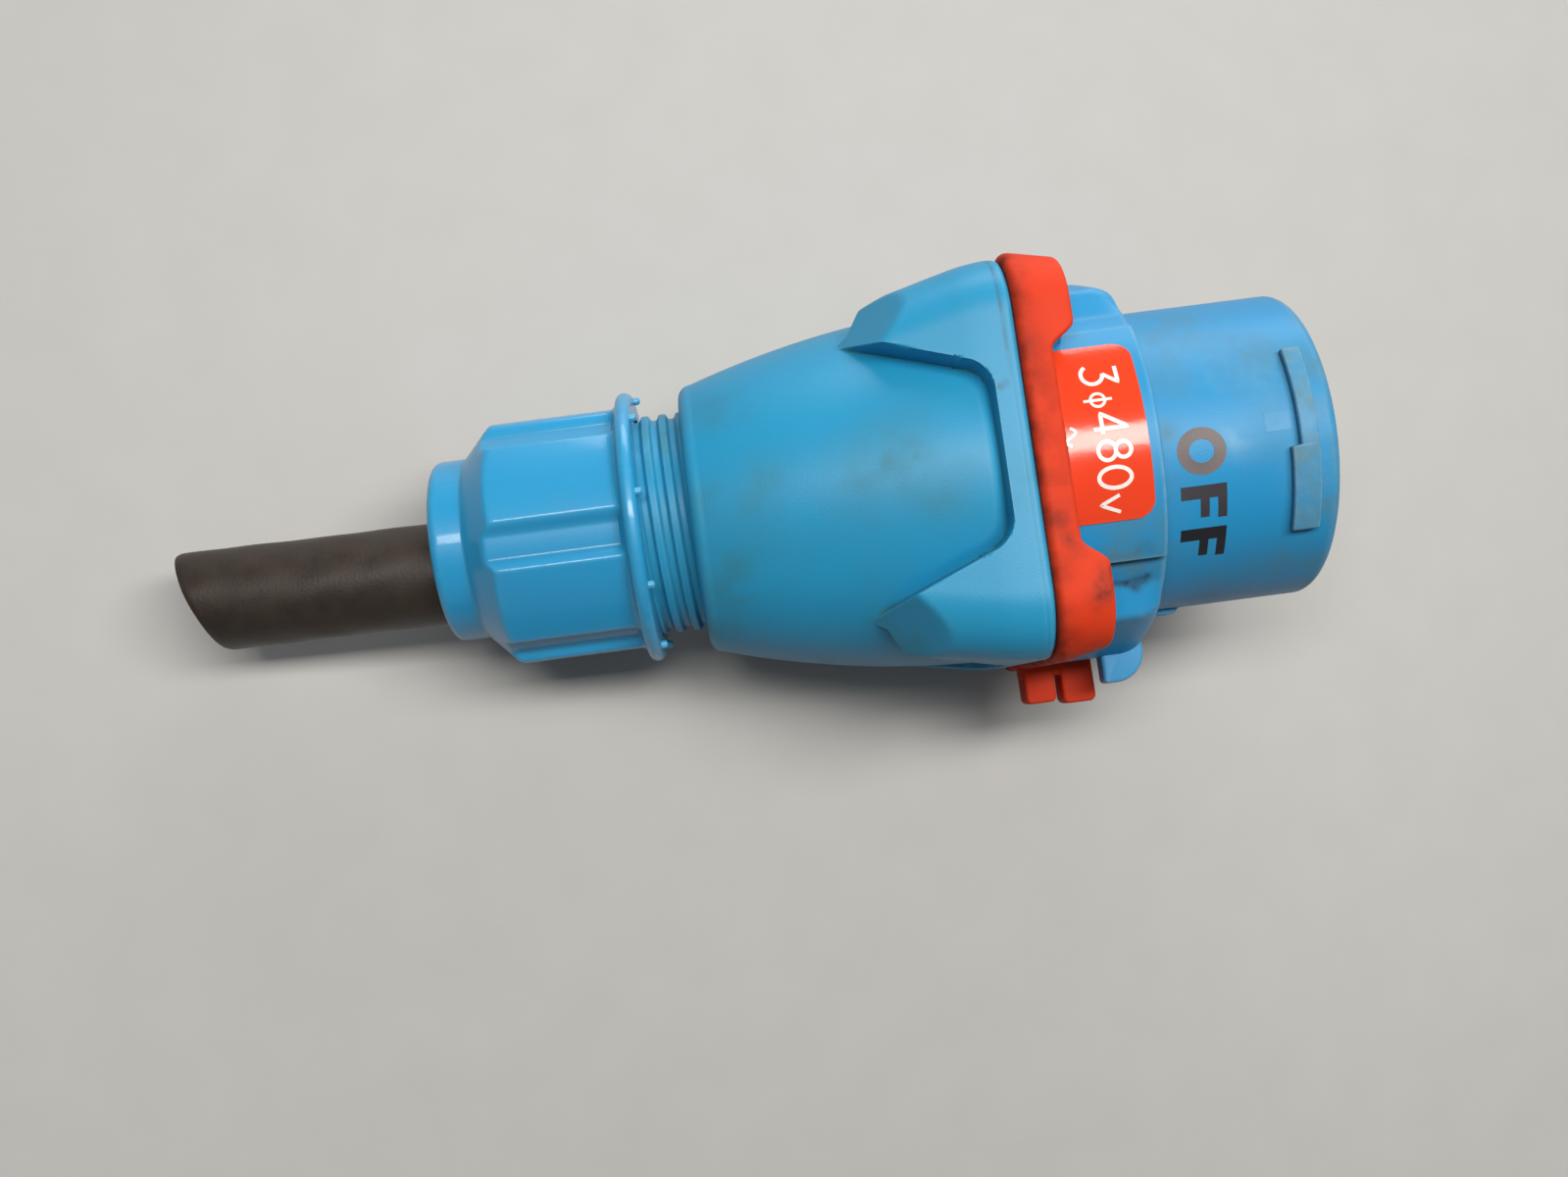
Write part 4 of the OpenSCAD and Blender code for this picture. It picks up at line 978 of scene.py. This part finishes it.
# %% Outline of the shoulders
DRUM_R = 39.5
LEAVE, CREASE, REACH = (29.35, 26.43), (36.8, 24.0), (44.2, 3.0)
FACE_SOFT, SIDE_SOFT, DRUM_SOFT = 1.3, 1.0, 0.5


def line_radius(angle, start, end):
    """Distance from the axis to a straight line through two points, along each angle."""
    square_to = np.array([start[1] - end[1], end[0] - start[0]])
    return square_to @ start / (square_to[0] * np.sin(angle) + square_to[1] * np.cos(angle))


def shoulder_radius(angle):
    """Outline of the two shoulders: a sloping face, a steep wall and a flat side, with rounded creases."""
    folded = np.arcsin(np.abs(np.sin(angle)))
    face = line_radius(folded, LEAVE, CREASE)
    wall = line_radius(folded, CREASE, REACH)
    side = REACH[0] / np.maximum(np.sin(folded), 0.5)
    return soft_max(soft_min(soft_min(face, wall, FACE_SOFT), side, SIDE_SOFT), DRUM_R, DRUM_SOFT)


# %% Nose and drum
BODY_LOW = plug_box("inlet_body")[0]
LABEL_LOW, LABEL_HIGH = plug_box("rating_label")
BODY_BACK = 3.0
DRUM_X, DRUM_EDGE = 27.8, 1.4
PAD_R, PAD_HALF, PAD_SOFT = 41.5, 38.0, 1.6
PAD_END, PAD_RUN = 0.2, 0.9
NOSE_BORE, NOSE_FOOT = 31.0, 0.6
RIM_ROUND, MOUTH_ROUND = 2.3, 0.8
LEDGE_X, LEDGE_R = 20.0, 28.2
RECESS_R = 33.0
SHOULDER_FRONT, SHOULDER_ROUND = 27.2, 6.5
shoulder_x = SHOULDER_FRONT - SHOULDER_ROUND
body_a = ring_angles(600)[None]
off_label = np.abs((np.degrees(body_a) + 90) % 180 - 90)
pad_share = smooth((PAD_HALF + PAD_SOFT / 2 - off_label) / PAD_SOFT)
body_profile = np.concatenate([
    np.linspace((BODY_BACK, RECESS_R), (BODY_BACK, DRUM_R - 0.4), 3),
    np.linspace((BODY_BACK + 0.2, DRUM_R), (shoulder_x - 0.6, DRUM_R), 20),
    np.linspace((shoulder_x, DRUM_R), (DRUM_X - DRUM_EDGE - 0.2, DRUM_R), 18),
    arc(DRUM_X - DRUM_EDGE, DRUM_R - DRUM_EDGE, DRUM_EDGE, 82, 8, 8),
    np.linspace((DRUM_X, DRUM_R - DRUM_EDGE - 0.2), (DRUM_X, NOSE_R + NOSE_FOOT + 0.1), 4),
    arc(DRUM_X + NOSE_FOOT, NOSE_R + NOSE_FOOT, NOSE_FOOT, 180, 270, 5),
    np.linspace((DRUM_X + 2 * NOSE_FOOT, NOSE_R), (RIM_X - RIM_ROUND - 0.3, NOSE_R), 60),
    arc(RIM_X - RIM_ROUND, NOSE_R - RIM_ROUND, RIM_ROUND, 88, 0, 9),
    arc(RIM_X - MOUTH_ROUND, NOSE_BORE + MOUTH_ROUND, MOUTH_ROUND, 0, -90, 6),
    np.linspace((RIM_X - 2, NOSE_BORE), (DRUM_X + 0.2, NOSE_BORE), 12),
    np.array([(DRUM_X, NOSE_BORE - 0.3), (DRUM_X, LEDGE_R), (LEDGE_X, LEDGE_R), (LEDGE_X, RECESS_R)]),
])
body_x = body_profile[:, :1]
body_r = np.broadcast_to(body_profile[:, 1:], (len(body_profile), body_a.shape[1]))
on_drum = (body_r > NOSE_R + NOSE_FOOT + 0.05) & (body_x > BODY_BACK + 2)
pad_rise = (PAD_R - DRUM_R) * pad_share * smooth((DRUM_X - PAD_END - body_x) / PAD_RUN)
dome = 1 - round_off((body_x - shoulder_x) / SHOULDER_ROUND, 1)
shoulder_rise = (shoulder_radius(body_a) - DRUM_R) * dome
body_grid = round_axis(body_x, np.where(on_drum, body_r + pad_rise + shoulder_rise, body_r), body_a)
print("nose and drum:", body_grid.shape[:2])

# %% Dirt, scuffs, painted shade and painted sheen on the nose and drum
# Soot along the crease where the near shoulder meets the drum and by the pad's edge: dirt and painted shade.
BODY_SOOT_AND_SHADE = [
    (16.2, 47.4, 39.6, 0.7, 1.0), (17.4, 47.6, 39.6, 0.7, 1.0), (18.6, 47.8, 39.6, 0.7, 1.0),
    (19.8, 48, 39.6, 0.9, 1.0), (21, 48, 39.6, 1.2, 1.0), (22.4, 47.2, 39.6, 1.3, 1.0),
    (20.8, 50, 39.8, 1.1, 0.8), (23.6, 46, 39.6, 0.8, 0.7), (22, 34, 40, 2.4, 0.35), (10, 39, 40, 2.5, 0.4)]
BODY_GRIME = [
    (32, -20, 35, 6, 0.55), (32, -38, 35, 7, 0.5), (52, -31, 35, 5, 0.5), (57, -28, 35, 4, 0.4),
    (29.5, -1, 35, 3, 0.8), (65, -22, 35, 5, 0.6), (65, 0, 35, 5, 0.5), (64, 29, 35, 6, 0.7),
    (64, 56, 35, 6, 0.7), (21, 30, 40, 7, 1.0), (18, 36, 40, 6, 1.0), (24, 40, 40, 5, 0.6),
    (55, 54, 35, 6, 0.45), (33, 45, 35, 7, 0.4), (12, -36, 40, 5, 0.5), (44, 60, 35, 9, 0.3),
    (40, -50, 35, 9, 0.4)]
# Pale rubs on the nose: the small ones by the O are scuffs, the broad ones a painted sheen across its middle.
BODY_RUBS_AND_SHEEN = [
    (42.6, 3, 35, 1.8, 0.5), (43.6, 6.5, 35, 2.4, 0.55), (46.5, 7, 35, 3, 0.25), (53, -16, 35, 7, 0.2),
    (42, -24, 35, 8, 0.2), (60, 20, 35, 6, 0.25)]
RIM_DIRT, RIM_DIRT_X, RIM_DIRT_RUN = 0.55, 63, 2.5
rim_grime = RIM_DIRT * smooth((body_grid[..., 0] - RIM_DIRT_X) / RIM_DIRT_RUN)
body_grime = np.maximum(smudge(body_grid, BODY_GRIME), rim_grime)
inlet_skin = Skin("inlet_shell")
inlet_skin.add(body_grid, smudge(body_grid, BODY_SOOT_AND_SHADE), body_grime, smudge(body_grid, BODY_RUBS_AND_SHEEN))

# %% Flange, corner posts and wing
FLANGE_IN = GASKET_WALL + 0.2
FLANGE_BACK, BAND_X = 3.0, 7.0
POST_BACK, POST_TOP, POST_EDGE = 4.0, 11.0, 0.9
SCREW_R = 2.6
HEAD_R, HEAD_T = 4.2, 4.0
WING_BACK, WING_FRONT, WING_IN = 16.8, 26.8, 38.0
WING_HALF_T, WING_EDGE = 3.0, 0.9
WING_RADII = (7.0, 1.0, 0.5, 0.5)
FLANGE_SECTION = np.array([
    (FLANGE_BACK, 7.0), (FLANGE_BACK, 10.8), (3.5, 11.4), (6.5, 11.4), (BAND_X, 10.9), (BAND_X, 7.0)])
flange_path, flange_normal = square_path(12, 12)[:2]
flange_flat = flange_path[None] + FLANGE_SECTION[:, 1:, None] * flange_normal[None]
flange_height = np.broadcast_to(FLANGE_SECTION[:, :1, None], flange_flat.shape[:2] + (1,))
inlet_skin.add(np.concatenate([flange_height, flange_flat], -1))
post_r = GASKET_CORNER - FLANGE_IN
post_tip = post_r - CUP_DRAFT
seat = POST_TOP - HEAD_T
post_profile = np.concatenate([
    np.array([(POST_BACK, SCREW_R), (POST_BACK, post_r), (BAND_X, post_r), (POST_TOP - 1, post_tip + 0.4)]),
    arc(POST_TOP - POST_EDGE, post_tip - POST_EDGE, POST_EDGE, 90, 0, 5),
    np.array([(POST_TOP, HEAD_R + 0.3), (POST_TOP - 0.3, HEAD_R), (seat, HEAD_R), (seat, SCREW_R)]),
])
post_grid = round_axis(post_profile[:, :1], post_profile[:, 1:], ring_angles(48)[None])
for y in (-CORNER_AT, CORNER_AT):
    for z in (-CORNER_AT, CORNER_AT):
        inlet_skin.add(post_grid + [0, y, z])
rim, normals = outline(rectangle((WING_BACK, WING_IN), (WING_FRONT, -BODY_LOW[1])), WING_RADII, 11)
inlet_skin.add(plate(rim, normals, -WING_HALF_T, WING_HALF_T, WING_EDGE) * [1, -1, 1], loop=False)

# %% Bayonet ribs
RIB_FRONT = 61.7
RIB_BACK_NARROW, RIB_BACK_WIDE = 57.8, 55.8
RIB_TOP = NOSE_R + 2.0
RIB_FROM, RIB_JOG, RIB_TO = -26.0, 9.0, 39.0
RIB_SOFT = 0.55
RIB_END, RIB_END_DROP, JOG_RUN = 1.2, 0.7, 0.8
# The first number darkens the back foot of each rib: painted shade on its rear wall, and dirt.
FOOT_SOOT_AND_SHADE, RIB_GRIME = 0.8, 0.8


def rib_grid(turned_by):
    """A band round the nose, with ends that round down: its section is carried along the angle.

    The section runs up the back, over a rounded top and down the front, and the back steps at the jog.
    """
    end_steps = np.array([0.2, 0.6, 1.2])
    way = np.concatenate([
        [RIB_FROM] * 2, RIB_FROM + end_steps, np.linspace(RIB_FROM + 2, RIB_JOG - 0.8, 24),
        RIB_JOG + np.linspace(-0.5, 0.5, 7), np.linspace(RIB_JOG + 0.8, RIB_TO - 2, 22),
        RIB_TO - end_steps[::-1], [RIB_TO] * 2])
    from_end = np.minimum(way - RIB_FROM, RIB_TO - way) / RIB_END
    drop = RIB_END_DROP * round_off(1 - from_end, 1)
    back = RIB_BACK_NARROW + (RIB_BACK_WIDE - RIB_BACK_NARROW) * smooth((way - RIB_JOG) / JOG_RUN + 0.5)
    rise = np.radians(np.linspace(0, 90, 5))
    inset = RIB_SOFT * (1 - np.cos(rise))[:, None]
    flat = np.zeros((2, len(way)))
    x = np.concatenate([back + flat, back + inset, RIB_FRONT - inset[::-1] + 0 * back, RIB_FRONT + flat])
    up = RIB_TOP - RIB_SOFT * (1 - np.sin(rise))
    r = np.concatenate([[NOSE_R - 1, NOSE_R + 0.2], up, up[::-1], [NOSE_R + 0.2, NOSE_R - 1]])[:, None]
    r = r - drop * (r > NOSE_R + 0.5)
    grid = round_axis(x, r, np.radians(way + turned_by)[None]).transpose(1, 0, 2)
    for end in (0, -1):
        grid[end] = grid[end].mean(0)
    return grid


for turned_by in (0, 180):
    grid = rib_grid(turned_by)
    foot = np.zeros(grid.shape[:2])
    foot[:, :2] = FOOT_SOOT_AND_SHADE
    inlet_skin.add(grid, foot, RIB_GRIME, loop=False)

# %% Witness mark, side key and the inlet's mesh
WITNESS_FROM, WITNESS_TO, WITNESS_W = 51.2, 56.6, 3.9
WITNESS_LOW, WITNESS_HIGH = -0.04, 0.07
KEY_FROM, KEY_RAMP, KEY_TO = 26.8, 35.9, 39.5
KEY_LOW, KEY_HIGH = -7.0, 0.0
KEY_IN, KEY_OUT = 2.0 - NOSE_R, -1.3 - NOSE_R
KEY_RADII = (0.5, 0.5, 1.5, 0.5)
KEY_EDGE = 0.6


def on_nose(flat, level):
    """Wraps flat points on the nose: the first number runs along the axis, the second round it."""
    return round_axis(flat[:, 0], NOSE_R + level, flat[:, 1] / NOSE_R)


witness = np.linspace((WITNESS_FROM, 0.0), (WITNESS_TO, 0.0), 12)
inlet_skin.add(ribbon(witness, WITNESS_W, WITNESS_LOW, WITNESS_HIGH, on_nose), loop=False)
key_corners = [(KEY_FROM, KEY_IN), (KEY_FROM, KEY_OUT), (KEY_RAMP, KEY_OUT), (KEY_TO, KEY_IN)]
inlet_skin.add(plate(*outline(key_corners, KEY_RADII), KEY_LOW, KEY_HIGH, KEY_EDGE), loop=False)
inlet_skin.make(blue_inlet, "plug", "blue_shell", "inlet_body")

# %% [markdown]
# ## The label
#
# A glossy film lies on the top pad. It is a patch of the pad's cylinder with two rounded front corners: each
# row of its grid has its own half width. The film has a real thickness, so its edge catches light.

# %% Label film
LABEL_ROUND = 4.0
LABEL_HALF = math.radians(27)
LABEL_TURN = math.radians(-3)
FILM_R = 41.8
FILM_BED = 0.05
corner_x = LABEL_HIGH[0] - LABEL_ROUND
label_x = np.concatenate([
    np.linspace(LABEL_LOW[0], corner_x, 20),
    LABEL_HIGH[0] - LABEL_ROUND * (1 - np.sin(np.radians(np.linspace(8, 90, 12)))),
])[:, None]
label_half = LABEL_HALF - round_off(label_x - corner_x, LABEL_ROUND) / PAD_R
film_angle = LABEL_TURN + label_half * np.linspace(-1, 1, 80)[None]
film_top = round_axis(label_x, FILM_R, film_angle)
film_low = round_axis(label_x, PAD_R - FILM_BED, film_angle)
film_mid = (film_top + film_low) / 2
film_ends = [np.concatenate([film_mid[i], film_mid[i, ::-1]])[None] for i in (0, -1)]
film = np.concatenate([film_ends[0], np.concatenate([film_top, film_low[:, ::-1]], 1), film_ends[1]])
Skin("label_skin").add(film, loop=False).make(label_film, "plug", "label_film", "rating_label")

# %% [markdown]
# ## The lettering
#
# The printed marks are generic: a plain supply rating on the label and the word for the off position on the
# nose. A letter is a few strokes in millimetres, each a line of points. A stroke becomes a thin raised
# ribbon: its points are moved sideways by half its width along the local normal, then wrapped on the
# cylinder.


# %% Letter strokes
def circle_stroke(cx, cy, rx, ry, start=0, end=360, count=40):
    """Points on an ellipse between two angles, in degrees."""
    a = np.radians(np.linspace(start, end, count))
    return np.stack([cx + rx * np.cos(a), cy + ry * np.sin(a)], -1)


def line_stroke(*points):
    """Straight runs between points, cut into short steps so that they can follow a curved surface."""
    points = np.array(points, float)
    runs = [np.linspace(a, b, 14)[:-1] for a, b in zip(points[:-1], points[1:])]
    return np.concatenate([*runs, points[-1:]])


WAVE = np.linspace(0, 1, 24)
# Each letter's stroke width and strokes; an F is its stem and a pair of arms, because their widths differ
STROKES = {
    "3": (0.85, [line_stroke((0.4, 7.4), (4.2, 7.4), (2.0, 4.5)),
                 circle_stroke(1.9, 2.3, 2.25, 2.25, 90, -150)]),
    "φ": (0.6, [circle_stroke(1.6, 2.5, 1.45, 1.5), line_stroke((1.6, -0.5), (1.6, 5.5))]),
    "4": (0.85, [line_stroke((3.7, 0.2), (3.7, 7.3), (0.4, 2.0), (4.8, 2.0))]),
    "8": (0.85, [circle_stroke(2.3, 5.6, 1.65, 1.6), circle_stroke(2.3, 2.2, 1.95, 1.85)]),
    "0": (0.85, [circle_stroke(2.55, 3.85, 2.15, 3.4)]),
    "v": (0.75, [line_stroke((0.3, 4.5), (2.1, 0.5), (3.9, 4.5))]),
    "~": (0.6, [np.stack([3.9 * WAVE, 1.1 * np.sin(2 * np.pi * WAVE)], -1)]),
    "O": (2.6, [circle_stroke(5.1, 5.2, 3.8, 4.0, count=60)]),
    "F": (2.9, [line_stroke((1.45, 0.0), (1.45, 10.0))]),
    "=": (1.95, [line_stroke((2.8, 9.0), (7.5, 9.0)), line_stroke((2.8, 5.2), (7.1, 5.2))]),
}
PRINT_LOW, PRINT_HIGH = -0.03, 0.05


def write(skin, letter, base_x, start, radius):
    """Sets one letter on a cylinder: its top points to the nose and words read towards the near side."""
    width, strokes = STROKES[letter]

    def place(flat, level):
        return round_axis(base_x + flat[:, 1], radius + level, math.radians(start) + flat[:, 0] / radius)

    for stroke in strokes:
        skin.add(ribbon(stroke, width, PRINT_LOW, PRINT_HIGH, place), loop=False)


# %% Set the words
# Each letter of the rating with its foot along the axis and its start in degrees
RATING = [("3", 12.7, -22.3), ("φ", 12.6, -13.7), ("4", 13.0, -7.9), ("8", 13.1, 0.4), ("0", 12.5, 7.8),
          ("v", 12.4, 16.0), ("~", 8.3, -4.2)]
# The word's letters wear off from its start, so each is a piece of its own
OFF_X = 31.8
OFF_LETTERS = [("worn_print", "O", -1.6, worn_print), ("faded_print", "F=", 18.7, faded_print),
               ("black_print", "F=", 34.6, black_print)]
rating_skin = Skin("rating_print")
for letter, base_x, start in RATING:
    write(rating_skin, letter, base_x, start, FILM_R)
rating_skin.make(white_print, "plug", "label_film")
for name, letters, start, finish in OFF_LETTERS:
    off_skin = Skin(name)
    for letter in letters:
        write(off_skin, letter, OFF_X, start, NOSE_R)
    off_skin.make(finish, "plug", "blue_shell")

# %% [markdown]
# ## The cable
#
# A short length of heavy rubber cable is left behind the nut, cut at a slant. It is a tube whose far row lies
# in the cutting plane, with a slightly uneven surface. It lies to one side in the loosened gland and drifts
# back a little. Round copper strands show on the cut ends of its conductors.

# %% Cable skin
CABLE_HIGH = plug_box("cable_sheath")[1]
CABLE_R = CABLE_HIGH[2]
SHEATH_IN = CABLE_R - 2.8
CUT_X = -188.0
CUT_SLOPE = math.tan(math.radians(20))
CUT_ROUND, CUT_RUN, CUT_START = 0.35, 0.012, 0.15
CABLE_SHIFT, CABLE_LEAN, LEAN_POWER = -5.0, 0.8, 1.5
RIPPLE, BUMPS = 0.12, 0.1
DUST, DUST_FROM, DUST_RUN = 0.6, -0.2, 1.1


def cable_points(t, r, angle):
    """Points of the tube: the share t runs from the slanted cut to the sheath's inner end."""
    y = -r * np.sin(angle)
    cut = CUT_X - CUT_SLOPE * y
    x = cut + (CABLE_HIGH[0] - cut) * t
    aside = y + CABLE_SHIFT + CABLE_LEAN * (1 - t) ** LEAN_POWER
    return np.stack(np.broadcast_arrays(x, aside, r * np.cos(angle)), -1)


cable_a = ring_angles(120)[None]
t = np.concatenate([np.linspace(0, 0.03, 5), np.linspace(0.04, 1, 90)])[:, None]
uneven = RIPPLE * np.sin(3 * cable_a + 9 * t) ** 2 + BUMPS * np.sin(23 * t + 2 * np.sin(2 * cable_a)) ** 2
tube_r = CABLE_R - uneven - CUT_ROUND * (1 - smooth(t / CUT_RUN + CUT_START))
tube_inner = cable_points(t[::-4], SHEATH_IN + 0 * cable_a, cable_a)
tube = np.concatenate([cable_points(t, tube_r, cable_a), tube_inner])
dust = DUST * smooth((tube[..., 2] / CABLE_R - DUST_FROM) / DUST_RUN)
Skin("cable_tube").add(tube, grime_and_shade=dust).make(cable_rubber, "plug", "cable_rubber", "cable_sheath")

# %% Copper strands
CORES = 4
CORE_CIRCLE = 5.2
STRAND_R, STRAND_STEP = 0.42, 0.86
STRAND_PROFILE = np.array([(0.0, -0.6), (1.0, -0.6), (1.0, 0.25), (0.7, 0.4), (0.0, 0.45)])
strand_a = ring_angles(10)
strand_skin = Skin("copper_strands")
packing = [(0, 0)]
for ring in (1, 2):
    packing += [(ring * STRAND_STEP, 2 * np.pi * k / (6 * ring)) for k in range(6 * ring)]
for core in range(CORES):
    way = np.pi / 4 + core * 2 * np.pi / CORES
    for reach, lean in packing:
        y = -CORE_CIRCLE * math.sin(way) + reach * math.cos(lean)
        z = CORE_CIRCLE * math.cos(way) + reach * math.sin(lean)
        sy = y + STRAND_R * STRAND_PROFILE[:, :1] * np.cos(strand_a)
        sz = z + STRAND_R * STRAND_PROFILE[:, :1] * np.sin(strand_a)
        sx = CUT_X - CUT_SLOPE * sy - STRAND_PROFILE[:, 1:]
        strand_skin.add(np.stack([sx, sy + CABLE_SHIFT, sz], -1), loop=False)
strand_skin.make(copper_wire, "plug", "copper")

# %% [markdown]
# ## The pieces that keep their CAD shape
#
# Pins, screws, inserts and conductors are right as they are, so they only get their finish.

# %% Finish the CAD nodes
CORE_COLOURS = {
    "phase_conductor_1": (30, 30, 32), "phase_conductor_2": (170, 38, 32),
    "phase_conductor_3": (224, 218, 204), "earth_conductor": (44, 128, 58)}
CORE_DIRT = (70, 64, 58)
BRASS_NODES = "phase_pin_1", "phase_pin_2", "phase_pin_3", "earth_pin", "flange_inserts"
STEEL_NODES = "terminal_screws", "carrier_screws", "flange_screws"
finish_of = {
    "contact_carrier": carrier_black, "gland_seal": seal_rubber, "slip_washer": washer_nylon,
    "copper_cores": copper_wire, "inlet_body": blue_shell, "handle": blue_shell, "gland_nut": blue_nut,
    "flange_gasket": red_rubber, "rating_label": label_film, "cable_sheath": cable_rubber,
    **dict.fromkeys(BRASS_NODES, contact_brass), **dict.fromkeys(STEEL_NODES, fixing_steel),
}
for name, colour in CORE_COLOURS.items():
    darker = tuple(c * 0.9 for c in colour)
    paler = tuple(min(255, c + 30) for c in colour)
    finish_of[name] = handled(name, colour, darker, CORE_DIRT, paler, dirt_and_shade_amount=0.4, rubbed_and_sheen=0.3, rough=0.4)
for name, node in frame["nodes"].items():
    node.data.materials.clear()
    node.data.materials.append(finish_of[name])
print("CAD nodes finished:", len(finish_of))
